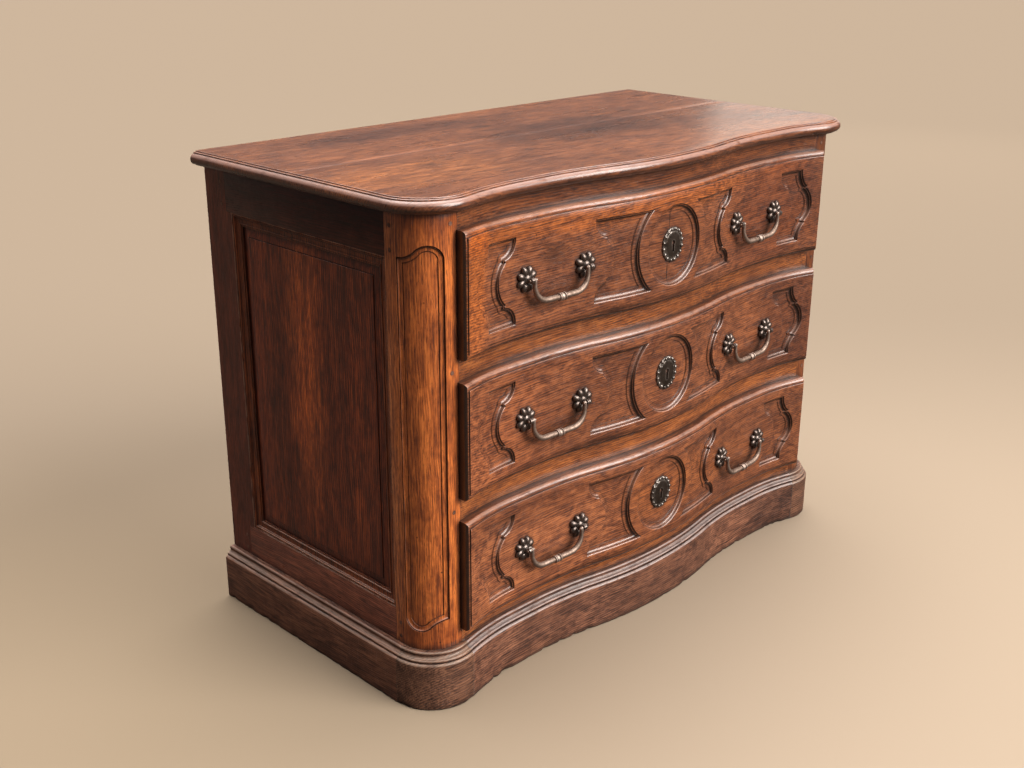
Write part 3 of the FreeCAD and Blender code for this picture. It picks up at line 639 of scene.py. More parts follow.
def worn(g, place, look, colour, creases):
    # Rubbed arrises with painted highlight on them, painted highlight on faces turned up, painted shade on
    # faces turned down, dirt and painted shade in the corners
    grime, patchy = look["grime"], g.noise(place, 38.0)
    # lighter arrises: rubbed wear and painted highlight
    rim = g.span(g.closed(look["wearReach"], inside=True, only_local=True), "rim")
    rim = g.mul(rim, g.span(patchy, "rimPatch"))
    colour = g.mix(g.mul(rim, look["wearStrength"]), colour, look["worn"])
    facing = g.node("TexCoord").outputs["Normal"]
    # painted highlight: lighter where the face turns towards upWay, but not on level faces
    up = g.span(g.vector("DOT_PRODUCT", facing, look["upWay"]), "up")
    level = g.span(g.node("SeparateXYZ", {0: facing}).outputs["Z"], "level")
    up = g.mul(g.mul(up, g.span(patchy, "upPatch")), g.off(level))
    colour = g.mix(g.mul(up, look["upWorn"]), colour, look["worn"])
    # painted shade: darker where the face turns towards underWay
    under = g.span(g.vector("DOT_PRODUCT", facing, look["underWay"]), "under")
    colour = g.mix(g.mul(under, look["underDark"]), colour, grime)
    # dirt and painted shade in creases
    colour = g.mix(g.mul(creases, look["grimeStrength"], True), colour, grime)
    if look["haze"]:
        smoke = g.mul(g.span(g.closed(look["hazeReach"]), "haze"), look["haze"])
        colour = g.mix(smoke, colour, g.mix(0.7, look["dark"], grime))
    return colour


def makeWood(name, **changes):
    look = dict(woodDefaults, **changes)
    dark, grime = look["dark"], look["grime"]
    g = Graph(bpy.data.materials.new(name))
    place = g.node("TexCoord").outputs["Object"]
    board, log = logPlace(g, place, look)
    knots = knotsAt(g, place, look)
    rings = growthRings(g, log, knots, look["rings"])
    fine, pore = g.fibre(log, "fine"), g.fibre(log, "pore")
    pores = g.mul(g.band(pore, look["poreFrom"], look["poreFrom"] + 0.10), g.span(rings, "poreRings"))
    plain = g.add(*(g.mul(g.fibre(log, kind), shares[kind]) for kind in ("streak", "figure")))
    tone = g.add(g.mul(rings, look["ringStrength"]), g.mul(plain, 1.0 - look["ringStrength"]))
    tone = g.add(tone, g.around(fine, shares["fine"]))
    tone = g.add(tone, g.around(g.fibre(board, "curl"), look["burl"]))
    ramp = g.node("ValToRGB", {"Fac": tone})
    stops = ramp.color_ramp.elements
    stops[0].position, stops[1].position = tones["light"], tones["dark"]
    stops.new(tones["middle"])
    for stop, kind in zip(stops, tones):
        stop.color = (*look[kind], 1.0)
    colour = ramp.outputs["Color"]
    # darker, redder places where wax and smoke have gathered
    blotch = g.mul(g.span(g.fibre(board, "blotch", look["blotchSize"]), "blotch"), look["blotches"])
    colour = g.mix(blotch, colour, g.mix(0.6, colour, dark))
    # tinted patches: real stains, and some patches of painted light and painted shade
    for centre, reach, tint in look["stains"]:
        away = g.vector("LENGTH", g.vector("DIVIDE", g.vector("SUBTRACT", place, centre), reach))
        away = g.add(away, g.around(g.noise(place, 9.0, 4.0), shares["stainEdge"]))
        colour = g.mix(g.off(g.span(away, "stain")), colour, tint, "MULTIPLY")
    colour = g.mix(g.mul(pores, look["pores"]), colour, g.mix(0.5, dark, grime))
    if knots is not None:
        colour = g.mix(g.mul(knots, shares["knot"]), colour, g.mix(0.4, dark, grime))
    # knocks, worms and specks
    speck = g.node("TexVoronoi", {"Vector": place, "Scale": 42.0, "Randomness": 1.0}).outputs["Distance"]
    specks = g.mul(g.span(g.off(speck), "speck"), g.span(g.noise(place, 11.0, 2.0), "speckPatch"))
    colour = g.mix(g.mul(specks, shares["speck"]), colour, grime)
    # how closed in each point is: dirt and painted shade in creases, which are also rougher
    creases = g.math("POWER", g.closed(look["grimeReach"], True), look["creasePower"])
    colour = worn(g, place, look, colour, creases)
    # wax: streaky gloss, scratches and open pores
    rough = g.add(look["rough"], g.around(g.fibre(board, "smear"), gloss["smear"]))
    rough = g.add(g.add(rough, g.mul(pores, gloss["pores"])), g.mul(creases, gloss["creases"]), True)
    scratch = g.noise(g.mapping(place, Rotation=(0.5, 0.3, 0.7), Scale=(12, 500, 30)), 1.0, 2.0)
    height = g.sub(g.mul(fine, relief["fine"]), g.mul(pores, relief["pores"]))
    height = g.sub(height, g.mul(rings, relief["rings"]))
    height = g.add(height, g.mul(g.span(scratch, "scratch"), -look["scratches"]))
    grain = g.bump(height, look["bump"], relief["grain"])
    hollow = g.bump(g.noise(place, 26.0, 3.0, 0.5), relief["hollow"], relief["hollowDeep"], Normal=grain)
    g.finish({"Base Color": colour, "Roughness": rough, "Coat Weight": look["coat"],
              "Coat Roughness": look["coatRough"], "Coat IOR": look["coatIor"],
              "Specular IOR Level": look["specular"], "Normal": hollow})
    return g.owner


ironLook = {
    "rust": (0.10, 0.055, 0.03),
    "rustShare": 0.5,
    "rimReach": 0.0035,
    "rimShare": 0.7,
    "creaseReach": 0.006,
    "creaseShare": 0.9,
    "soot": (0.012, 0.009, 0.007),
    "metal": 0.95,
    "sootMetal": 0.5,
    "uneven": 0.4,
    "pits": 0.35,
    "pitDeep": 0.0008,
}


def makeIron(name, base, bright, rough, seed):
    i = ironLook
    g = Graph(bpy.data.materials.new(name))
    moved = g.mapping(g.node("TexCoord").outputs["Object"], Location=(seed, seed, seed))
    mottled = g.noise(moved, 160.0, 5.0, 0.6)
    colour = g.mix(g.span(mottled, "rust"), base, g.mix(i["rustShare"], base, i["rust"]))
    # lighter convex edges: polished wear and painted highlight
    rim = g.span(g.closed(i["rimReach"], inside=True, only_local=True), "ironRim")
    rim = g.mul(rim, g.span(g.noise(moved, 45.0), "ironPatch"))
    colour = g.mix(g.mul(rim, i["rimShare"]), colour, bright)
    # creases darker and less metallic: soot and painted shade
    creases = g.closed(i["creaseReach"], True)
    colour = g.mix(g.mul(creases, i["creaseShare"], True), colour, i["soot"])
    g.finish({"Base Color": colour, "Metallic": g.sub(i["metal"], g.mul(creases, i["sootMetal"])),
              "Roughness": g.add(rough, g.around(mottled, i["uneven"]), True),
              "Normal": g.bump(mottled, i["pits"], i["pitDeep"])})
    return g.owner


print("finishes")
topWood = makeWood(
    "waxedTop", light=(0.50, 0.172, 0.062), middle=(0.30, 0.096, 0.038), dark=(0.090, 0.029, 0.016),
    worn=(0.52, 0.31, 0.25), upWorn=0.6, burl=0.3, underDark=0.5, heart=(0.3, 0.5, -0.80), rings=60.0,
    sway=0.045, rough=0.30, coat=0.75, blotches=0.75, blotchSize=2.4, scratches=0.5, wearReach=0.005,
    seed=3.0,
    knots=((0.10, -0.02, 0.93, 0.020), (-0.05, 0.16, 0.93, 0.013), (0.34, 0.10, 0.93, 0.012),
           (-0.40, -0.08, 0.93, 0.009)),
    stains=(((0.12, 0.02, 0.93), (0.30, 0.12, 0.1), (0.50, 0.50, 0.58)),
            ((-0.46, -0.12, 0.93), (0.22, 0.12, 0.1), (1.45, 1.45, 1.15)),
            ((-0.20, 0.22, 0.93), (0.40, 0.06, 0.1), (0.62, 0.62, 0.70)),
            # painted shade: the last patch darkens the bead round the edge of the top, below its upper face
            ((0.0, 0.0, 0.903), (5.0, 5.0, 0.028), (0.62, 0.60, 0.66))))
frontWoods = {
    level: makeWood("carvedOak_" + level, heart=(0.1, 0.42, -z + 0.33), seed=seed, knots=knots, stains=stains,
                    light=(0.46, 0.150, 0.055), middle=(0.264, 0.081, 0.033), dark=(0.080, 0.025, 0.014),
                    burl=0.55, pores=0.45, creasePower=0.7, haze=0.75, worn=(0.66, 0.39, 0.29), upWorn=0.42,
                    # painted highlight on faces turned up and left, painted shade on faces turned down and
                    # left
                    wearStrength=0.6, upWay=(-0.45, 0.0, 0.89), underWay=(-0.55, 0.0, -0.835), underDark=0.9)
    for level, z, seed, knots, stains in (
        ("upper", 0.76, 1.0, ((-0.30, -0.28, 0.79, 0.016), (-0.34, -0.28, 0.72, 0.011)),
         (((-0.505, -0.28, 0.76), (0.05, 0.3, 0.15), (1.85, 1.55, 0.85)),
          ((-0.15, -0.28, 0.848), (0.60, 0.3, 0.034), (1.4, 1.2, 0.75)),
          ((-0.33, -0.28, 0.755), (0.13, 0.3, 0.06), (0.86, 0.88, 0.96)),
          ((0.36, -0.28, 0.76), (0.20, 0.3, 0.15), (0.80, 0.72, 0.70)),
          ((-0.011, -0.28, 0.812), (0.0014, 0.3, 0.034), (0.10, 0.10, 0.10)),
          ((-0.013, -0.28, 0.706), (0.0016, 0.3, 0.026), (0.10, 0.10, 0.10)))),
        ("middle", 0.50, 2.3, ((0.42, -0.27, 0.56, 0.010),),
         (((-0.45, -0.28, 0.50), (0.16, 0.3, 0.12), (1.15, 1.1, 1.05)),
          ((0.47, -0.28, 0.50), (0.15, 0.3, 0.25), (0.66, 0.64, 0.70)))),
        ("lower", 0.25, 4.1, ((0.36, -0.27, 0.30, 0.009),),
         (((-0.35, -0.28, 0.22), (0.30, 0.3, 0.10), (1.25, 1.3, 1.35)),
          ((0.10, -0.28, 0.25), (0.28, 0.3, 0.07), (1.15, 1.1, 0.9)))))
}
railWood = makeWood(
    "railOak", heart=(0.0, 0.46, 0.3), seed=5.2, light=(0.60, 0.190, 0.048), middle=(0.36, 0.104, 0.028),
    # painted shadow: the patch darkens the top rail under the overhang of the top
    dark=(0.10, 0.028, 0.012), stains=(((0.0, -0.28, 0.89), (1.5, 0.3, 0.04), (0.62, 0.60, 0.72)),))
postWood = makeWood(
    "postOak", grain="Z", heart=(0.0, 0.5, 0.0), light=(0.90, 0.25, 0.054), middle=(0.56, 0.140, 0.032),
    dark=(0.19, 0.047, 0.017), burl=0.3, seed=6.4, ringStrength=0.12, blotches=0.5, blotchSize=4.5, pores=0.8,
    poreFrom=0.55, coat=0.45, creasePower=0.5,
    stains=(((0.62, -0.2, 0.45), (0.3, 0.6, 2.0), (0.42, 0.48, 0.70)),
            # painted highlight: a bluish lift on the outer side of the left post, by the side panel's
            # moulding
            ((-0.605, -0.17, 0.45), (0.03, 0.05, 0.7), (1.3, 1.6, 2.4)),
            # painted shadow: darker at the top of the left post, under the overhang of the top
            ((-0.56, -0.28, 0.90), (0.1, 0.1, 0.05), (0.75, 0.7, 0.75)),
            ((-0.57, -0.27, 0.13), (0.1, 0.1, 0.04), (0.7, 0.65, 0.7))))
stileWood = makeWood(
    "stileOak", grain="Z", heart=(0.1, 0.6, 0.0), light=(0.30, 0.064, 0.028), middle=(0.175, 0.036, 0.018),
    dark=(0.055, 0.013, 0.008), seed=7.7, coat=0.3)
sideRailWood = makeWood(
    "sideRailOak", grain="Y", heart=(0.0, 0.5, -0.3), light=(0.25, 0.062, 0.032),
    middle=(0.140, 0.036, 0.020), dark=(0.048, 0.014, 0.010), seed=8.9, coat=0.12,
    # painted shadow: the first patch darkens the left top side rail under the overhang of the top
    stains=(((-0.60, 0.0, 0.90), (0.2, 0.6, 0.10), (0.34, 0.12, 0.16)),
            ((-0.60, -0.1, 0.10), (0.2, 0.5, 0.16), (2.0, 2.5, 2.6))))
panelWood = makeWood(
    "panelOak", grain="Z", heart=(0.05, 0.9, 0.0), light=(0.46, 0.090, 0.024), middle=(0.195, 0.033, 0.0135),
    dark=(0.055, 0.012, 0.007), worn=(0.62, 0.42, 0.33), burl=0.25, seed=9.3, blotches=0.8, blotchSize=2.2,
    coat=0.35, wearStrength=1.0, wearReach=0.004, creasePower=0.6,
    # painted light: the first patch is a lit strip down the left side panel
    stains=(((-0.6, 0.045, 0.60), (0.1, 0.060, 0.42), (2.3, 2.6, 2.0)),
            ((-0.6, -0.10, 0.45), (0.1, 0.03, 0.5), (1.35, 1.35, 1.2)),
            ((-0.6, 0.20, 0.5), (0.1, 0.05, 0.6), (1.2, 1.2, 1.3))))
mouldWood = makeWood(
    "mouldingOak", grain="Z", heart=(0.0, 0.7, 0.0), light=(0.50, 0.125, 0.034), middle=(0.29, 0.066, 0.022),
    dark=(0.06, 0.016, 0.009), worn=(0.66, 0.42, 0.31), seed=10.1, coat=0.2, creasePower=0.55,
    wearStrength=1.0, wearReach=0.003, grimeReach=0.009)
plinthLike = {"blotches": 0.85, "scratches": 0.8, "bump": 0.7, "rough": 0.45}
plinthWood = makeWood(
    "plinthOak", heart=(0.0, 0.42, 0.3), light=(0.43, 0.180, 0.098), middle=(0.215, 0.084, 0.048),
    dark=(0.050, 0.021, 0.014), worn=(0.68, 0.56, 0.52), coat=0.2, wearStrength=1.0, upWorn=0.48, burl=0.3,
    creasePower=0.5, seed=11.6, stains=(((0.50, -0.30, 0.03), (0.16, 0.3, 0.09), (0.55, 0.55, 0.58)),),
    **plinthLike)
plinthSideWood = makeWood(
    "plinthSideOak", grain="Y", heart=(0.0, 0.6, 0.3), light=(0.42, 0.170, 0.092),
    middle=(0.225, 0.088, 0.050), dark=(0.07, 0.028, 0.018), worn=(0.55, 0.39, 0.29), coat=0.15,
    wearStrength=0.8, seed=12.6, **plinthLike)
plinthCornerWood = makeWood(
    "plinthCornerOak", heart=(0.5, 0.5, 0.3), light=(0.38, 0.170, 0.094), middle=(0.195, 0.086, 0.050),
    dark=(0.05, 0.021, 0.014), worn=(0.5, 0.36, 0.26), coat=0.2, wearStrength=0.8, seed=13.8,
    **dict(plinthLike, rough=0.42))
bareLook = {"light": (0.50, 0.27, 0.130), "middle": (0.37, 0.185, 0.085), "dark": (0.20, 0.092, 0.043),
            "grime": (0.07, 0.045, 0.03), "worn": (0.55, 0.38, 0.24), "rough": 0.75, "coat": 0.0,
            "blotches": 0.45, "specular": 0.3, "grimeStrength": 0.5}
innerWood = makeWood("bareInside", seed=14.2, **bareLook)
innerDeepWood = makeWood("bareInsideDepth", grain="Y", seed=15.4, **bareLook)
backWood = makeWood("bareBackPlanks", heart=(0.0, 0.6, 0.1), tilt=(0.0, 0.04, 0.03), seed=17.3, rings=45.0,
                    **dict(bareLook, light=(0.38, 0.185, 0.085), middle=(0.26, 0.120, 0.056),
                           dark=(0.13, 0.058, 0.029), ringStrength=0.12, blotchSize=1.6, blotches=0.7))
pegWood = makeWood("pegEndGrain", coat=0.1, rough=0.6, light=(0.14, 0.055, 0.026),
                   middle=(0.07, 0.026, 0.014), dark=(0.025, 0.01, 0.007), seed=16.0, rings=140.0)
handleIron = makeIron("handleIron", (0.22, 0.175, 0.155), (0.86, 0.76, 0.70), 0.34, 0.0)
bailIron = makeIron("bailIron", (0.38, 0.275, 0.220), (0.70, 0.56, 0.48), 0.55, 2.0)
plateIron = makeIron("plateIron", (0.095, 0.078, 0.066), (0.58, 0.51, 0.46), 0.34, 4.0)
lockIron = makeIron("lockIron", (0.030, 0.025, 0.022), (0.30, 0.27, 0.25), 0.60, 6.0)

topLook = {
    "under": 905.0,
    "height": 932.0,
    "overhang": 28.0,
    "beadRadius": 10.5,
    "beadAbove": 12.0,
    "beadSteps": 18,
    "arris": 15.0,
    "eased": ((1.6, 0.0), (0.9, 0.1), (0.3, 0.4), (0.0, 1.0)),
    "flat": 5.5,
    "step": 2.0,
    "inner": -12.0,
    "joint": 30.0,
    "jointGap": 0.15,
    "slice": 11.0,
    "fieldSlice": 30.0,
    "sag": (260.0, 0.25),       # (size, amount) of an unevenness
    "ripple": (45.0, 0.11),
    "underside": (60.0, 0.15),
}


def topProfile(t):
    # (outwards, height) from the upper face over the bead to the underside
    centre = t["overhang"] - t["beadRadius"]
    beadZ = t["under"] + t["beadAbove"]
    shoulder = t["arris"] + t["flat"]
    turn = math.acos((shoulder - centre) / t["beadRadius"])
    low = t["height"] - t["step"]
    eased = [(t["arris"] - back, t["height"] - drop) for back, drop in t["eased"]]
    points = [(t["inner"], t["height"])] + eased + [(t["arris"], low), (shoulder - 1.0, low - 0.2),
                                                    (shoulder - 0.3, low - 0.6)]
    for i in range(t["beadSteps"] + 1):
        angle = turn - (turn + math.pi / 2) * i / t["beadSteps"]
        points.append((centre + t["beadRadius"] * math.cos(angle), beadZ + t["beadRadius"] * math.sin(angle)))
    return points + [(centre - 0.4, t["under"]), (t["inner"], t["under"])]


def makeTop(t):
    mesh = bmesh.new()
    verts = [mesh.verts.new((-alongBack, out, z)) for out, z in topProfile(t)]
    chain = [mesh.edges.new(pair) for pair in zip(verts, verts[1:])]
    run = bmesh.ops.extrude_edge_only(mesh, edges=chain)
    moved = [v for v in run["geom"] if isinstance(v, bmesh.types.BMVert)]
    bmesh.ops.translate(mesh, verts=moved, vec=(2 * alongBack, 0, 0))
    slices(mesh, 0, -alongBack, alongBack, t["slice"])
    for v in mesh.verts:
        v.co = (*planPoint(v.co.x, v.co.y), v.co.z)

    def atBack(*verts):
        return all(abs(v.co.y - plan["backY"]) < nearly for v in verts)

    def atLevel(z, *verts):
        return all(abs(v.co.z - z) < nearly for v in verts)

    inner = plan["halfWidth"] + t["inner"]
    for z in (t["height"], t["under"]):
        ends = [v for v in mesh.verts if atBack(v) and atLevel(z, v) and abs(abs(v.co.x) - inner) < nearly]
        ends.sort(key=lambda v: v.co.x)
        loop = [e for e in mesh.edges if e.is_boundary and atLevel(z, *e.verts) and not atBack(*e.verts)]
        loop.append(mesh.edges.new((ends[0], ends[-1])))
        bmesh.ops.edgeloop_fill(mesh, edges=loop)
    bmesh.ops.edgeloop_fill(mesh, edges=[e for e in mesh.edges if e.is_boundary and atBack(*e.verts)])
    bmesh.ops.recalc_face_normals(mesh, faces=mesh.faces[:])
    return mesh


def makeTopBoard(t, name, way, seed):
    mesh = makeTop(t)
    found = cut(mesh, (0, t["joint"] - way * t["jointGap"], 0), Vector((0, way, 0)), clear_outer=True)
    edges = [e for e in found["geom_cut"] if isinstance(e, bmesh.types.BMEdge)]
    bmesh.ops.edgeloop_fill(mesh, edges=edges)
    ease(mesh, [e for e in edges if e.is_valid and all(v.co.z > t["height"] - nearly for v in e.verts)], 0.5)
    slices(mesh, 0, -600, 600, t["fieldSlice"])
    slices(mesh, 1, -300, 320, t["fieldSlice"])
    for v in mesh.verts:
        if v.co.z > t["height"] - 1.2:
            v.co.z -= t["sag"][1] + unevenness((v.co.x, v.co.y, 0), seed, *t["sag"])
            v.co.z -= t["ripple"][1] + unevenness((v.co.x * 0.35, v.co.y, 0), seed + 5, *t["ripple"])
        else:
            v.co.z -= t["underside"][1] + unevenness(v.co, seed + 9, *t["underside"])
    finishPiece(mesh, name + "_waxed", "carcass", topWood, name)


print("top")
makeTopBoard(topLook, "top_board_front", 1, 1.0)
makeTopBoard(topLook, "top_board_back", -1, 2.0)

plinthLook = {
    "height": 112.0,
    "face": 24.0,
    "moulding": 24.0,
    "profile": [(18.5, 17.0, -2.1), (12.5, 16.5, -2.2), (6.5, 10.5, 1.7), (0.0, 8.0, -2.4)],
    "cornerReach": 83.0,
    "slice": 9.0,
    "levels": (12, 26, 42, 60, 76),
    "gap": 0.25,
    "planed": (70.0, 0.5),
    "rubbed": (24.0, 0.25),
    "foot": 14.0,
    "chip": (16.0, 9.0),
    "chipFrom": 1.08,
}


def plinthProfile(p):
    steps = [(0.5, 0.0), (p["face"] - 2.4, 0.0), ((p["face"] - 0.7, 0.8), (p["face"], 3.0)),
             (p["face"], p["height"] - p["moulding"])]
    for drop, out, sag in p["profile"]:
        last = steps[-1][1] if isinstance(steps[-1][0], tuple) else steps[-1]
        steps.append(bulge(last, (out, p["height"] - drop), sag))
    return traced(steps + [(0.5, p["height"])], 1.6)


def alongUntil(low, high, x):
    # First distance along the front, near its corner, whose point is as far out as x
    return next(s for s in (alongCorner + i * 0.05 for i in range(low, high)) if planPoint(s, 0).x >= x)


def makePlinthBoard(p, name, start, end, wood, seed):
    mesh = bmesh.new()
    reach = (end - (0 if end == alongBack else p["gap"])) - (start + p["gap"])
    start += p["gap"]
    extrude(mesh, faceOf(mesh, [(start, out, z) for out, z in plinthProfile(p)]), (reach, 0, 0))
    slices(mesh, 0, start, start + reach, p["slice"])
    for z in p["levels"]:
        cut(mesh, (0, 0, z), (0, 0, 1))
    for v in mesh.verts:
        along, out, z = v.co
        if out > 12 and z < p["height"] - p["moulding"] + 1:
            # planed by hand, and chipped along the foot
            out -= p["planed"][1] + unevenness((along, 0, z), seed, *p["planed"])
            chip = unevenness((along, 0, z), seed + 3, *p["chip"])
            if z < p["foot"] and chip > p["chipFrom"]:
                out -= (chip - p["chipFrom"]) * (1 - z / p["foot"])
        elif out > 5:
            out -= p["rubbed"][1] + unevenness((along, out, z), seed + 6, *p["rubbed"])
        v.co = (*planPoint(along, out), max(0.0, z))
    finishPiece(mesh, name + "_worn", "carcass", wood, name, 38)


def makePlinth(p):
    joint = alongUntil(-800, 800, plan["halfWidth"] - p["cornerReach"])
    makePlinthBoard(p, "plinth_front", -joint, joint, plinthWood, 1.0)
    for side, word in sides:
        for name, first, last, wood, seed in (("corner", joint, alongSide, plinthCornerWood, 2.0),
                                              ("side", alongSide, alongBack, plinthSideWood, 5.0)):
            makePlinthBoard(p, "plinth_" + name + "_" + word, *sorted((side * first, side * last)), wood,
                            seed + side)


print("plinth")
makePlinth(plinthLook)

frontLook = {
    "halfWidth": 533.0,
    "proud": 24.0,
    "inside": 16.0,
    "lipGap": 0.4,
    "thumbStep": 2.5,
    "thumbRadius": 9.0,
    "thumbFoot": [(2.1, 0.0), (0.15, -1.8), (0.25, -0.45), (0.5, -0.25)],
    "bodyInset": 10.8,
    "belowMiddle": 1.5,
    "endLip": 6.0,              # the moulding is narrower at the ends than above and below
    "panelHigh": 78.5,
    "roundel": 79.5,
    "ring": 99.0,
    "cartouche": 299.0,
    "corner": 94.5,
    "tip": 121.0,
    "tipHeight": 40.0,
    "tipStep": 2.5,
    "notch": 3.5,
    "lobe": 136.5,
    "scoopSag": 10.0,
    "endCorner": 466.0,
    "endFlare": 483.0,
    "endLobe": 499.0,
    "flareSag": 5.5,
    "flareStep": 1.5,
    "levels": {"upper": (651.0, 871.0), "middle": (396.25, 610.5), "lower": (139.0, 353.25)},
    "slice": 11.0,
    "sliceHigh": 24.0,
    "keyDeep": 14.0,
    "keyGrow": 1.15,
    "planed": (55.0, 0.22),
    "gouged": (9.0, 0.10),
    "knock": (19.0, 4.0),
    "knockFrom": 1.2,
    "knockReach": 9.0,
}
keyLook = {"above": 4.0, "bore": 4.7, "slot": 2.6, "drop": 17.5}

# From the field down to the sunk ground: a bead, a quirk, a hollow and a fillet
carvedEdge = (quarterRound(2.6, 4) + [(1.4, 0.0), (0.25, 1.0)] + cove(7.2, 3.4)
              + [(1.3, 0.0), (0.25, 0.7), (1.0, 0.0), (0.3, 0.8)])


def scoopedEnd(f, way):
    # The side of a panel that is scooped round the handle, from below to above
    near, tip, lobe = (f["cartouche"] + way * f[k] for k in ("corner", "tip", "lobe"))
    high, t, n = f["panelHigh"], f["tipHeight"], f["notch"]
    step = tip - way * f["tipStep"]
    return [(near, -high), bulge((near, -high), (tip, -t), way * f["scoopSag"]), (step, n - t),
            ((lobe, 0.0), (step, t - n)), (tip, t), bulge((tip, t), (near, high), way * f["scoopSag"])]


def endOutline(f):
    high, t, n = f["panelHigh"], f["tipHeight"], f["notch"]
    corner, flare, sag = f["endCorner"], f["endFlare"], -f["flareSag"]
    step = flare - f["flareStep"]
    return Outline([(f["cartouche"] + f["corner"], high), (corner, high),
                    bulge((corner, high), (flare, t), sag), (step, t - n),
                    ((f["endLobe"], 0.0), (step, n - t)), (flare, -t),
                    bulge((flare, -t), (corner, -high), sag)] + scoopedEnd(f, 1))


def middleOutline(f):
    high = f["panelHigh"]
    foot = math.sqrt(f["ring"] ** 2 - high ** 2)
    return Outline([(f["cartouche"] - f["corner"], high), (foot, high), ((f["ring"], 0.0), (foot, -high))]
                   + scoopedEnd(f, -1))


def keyOutline(z, grow=1.0):
    bore, slot, drop = (keyLook[k] * grow for k in ("bore", "slot", "drop"))
    shoulder = math.sqrt(bore ** 2 - slot ** 2)
    steps = [(-slot, -drop), (slot, -drop), (slot, -shoulder), ((bore, 0.0), (0.0, bore)),
             ((-bore, 0.0), (-slot, -shoulder))]
    return [(x, z + h) for x, h in traced(steps, 1.2)]


def middleZ(level):
    return sum(frontLook["levels"][level]) / 2 - frontLook["belowMiddle"]


def makeFront(f, drawer, seed):
    low, high = f["levels"][drawer]
    middle = middleZ(drawer)
    lip = f["proud"] - f["thumbStep"] - f["thumbRadius"]
    mesh = bmesh.new()
    # the slab with its lips, then the body that fills the opening
    block(mesh, (-f["halfWidth"], -lip, low), (f["halfWidth"], -f["lipGap"], high))
    insetSteps(mesh, faceToward(mesh, 1), [(f["bodyInset"], 0.0), (0.01, -(f["inside"] + f["lipGap"]))])
    front = faceToward(mesh, -1)
    thumb = [(f["thumbRadius"] * (math.cos(a) - math.cos(b)), f["thumbRadius"] * (math.sin(a) - math.sin(b)))
             for a, b in quarterTurns(8)]
    insetSteps(mesh, front, thumb + f["thumbFoot"])
    openFaces(mesh, front)
    for side, word in sides:
        for outline in (endOutline(f), middleOutline(f)):
            sinkOutline(mesh, outline, carvedEdge, -f["proud"], middle, side)
    turns = [math.pi * i / 48 for i in range(96)]
    circle = [(f["roundel"] * math.cos(a), f["roundel"] * math.sin(a) + middle) for a in turns]
    ground = insetSteps(mesh, flatFace(mesh, circle, -f["proud"]), carvedEdge)
    fillOpen(mesh)
    level = ground.verts[0].co.y
    openFaces(mesh, ground)
    keyhole = flatFace(mesh, keyOutline(middle + keyLook["above"], f["keyGrow"]), level)
    extrude(mesh, keyhole, (0, f["keyDeep"], 0))
    fillOpen(mesh)
    slices(mesh, 0, -f["halfWidth"], f["halfWidth"], f["slice"])
    slices(mesh, 2, low, high, f["sliceHigh"])
    field = f["halfWidth"] - f["thumbRadius"] - f["thumbStep"]
    for v in mesh.verts:
        x, y, z = v.co
        out = -y
        if out > 1:
            # surfaces left by the plane and the gouge
            out += unevenness((x * 0.5, 0, z), seed, *f["planed"])
            out += unevenness((x, y * 3, z), seed + 4, *f["gouged"])
            if min(high - z, z - low) < f["knockReach"]:
                out -= max(0.0, unevenness((x, 0, z * 0.2), seed + 8, *f["knock"]) - f["knockFrom"])
        if abs(x) > field:
            squeezed = (abs(x) - field) * f["endLip"] / (f["halfWidth"] - field)
            x = math.copysign(field + squeezed, x)
        v.co = (x, frontY(x, out), z)
    body = "drawer_" + drawer
    finishPiece(mesh, body + "_carvedFront", body, frontWoods[drawer], body + "_front", 34)


print("carved fronts")
for level, seed in (("upper", 1.0), ("middle", 2.0), ("lower", 3.0)):
    makeFront(frontLook, level, seed)

postLook = {
    "panelStart": 27.5,         # from the joint with the side, round the corner
    "panelEnd": 113.0,
    "low": 168.5,
    "high": 830.0,
    "rise": 22.0,
    "foot": 0.38,
    "crown": 0.68,
    "slice": 4.5,
    "sliceHigh": 30.0,
    "depth": 30.0,
    "soft": 0.25,
    "planed": (30.0, 0.12),
    "planedTo": 5.5,
}
postEdge = ([(0.4, 3.4), (1.2, 0.0), (0.7, -2.2)] + cove(6.2, 2.6)
            + [(0.9, 0.0), (0.4, 2.2), (1.2, 0.0), (0.5, -1.0)])


def postOutline(p):
    start, end, low, high, rise = (p[k] for k in ("panelStart", "panelEnd", "low", "high", "rise"))
    foot = (end - start) * p["foot"]
    crown = (end - start) * p["crown"]
    return Outline([
        (start, low),
        (start, high),
        ((start + foot * 0.6, high + rise * 0.15), (start + foot, high + rise * 0.5)),
        ((start + crown, high + rise), (end, high)),
        (end, low),
        ((end - foot * 0.6, low - rise * 0.15), (end - foot, low - rise * 0.5)),
        ((end - crown, low - rise), (start, low)),
    ])


def postInner(share):
    # The two flat inner faces meet at the hidden corner of the post
    opening, backY, outer = plan["openingHalf"], plan["postBackY"], plan["halfWidth"] - 0.3
    if share < 0.5:
        return outer - (outer - opening) * share * 2, backY
    return opening, backY + (frontY(opening, -1.0) - backY) * (share * 2 - 1)


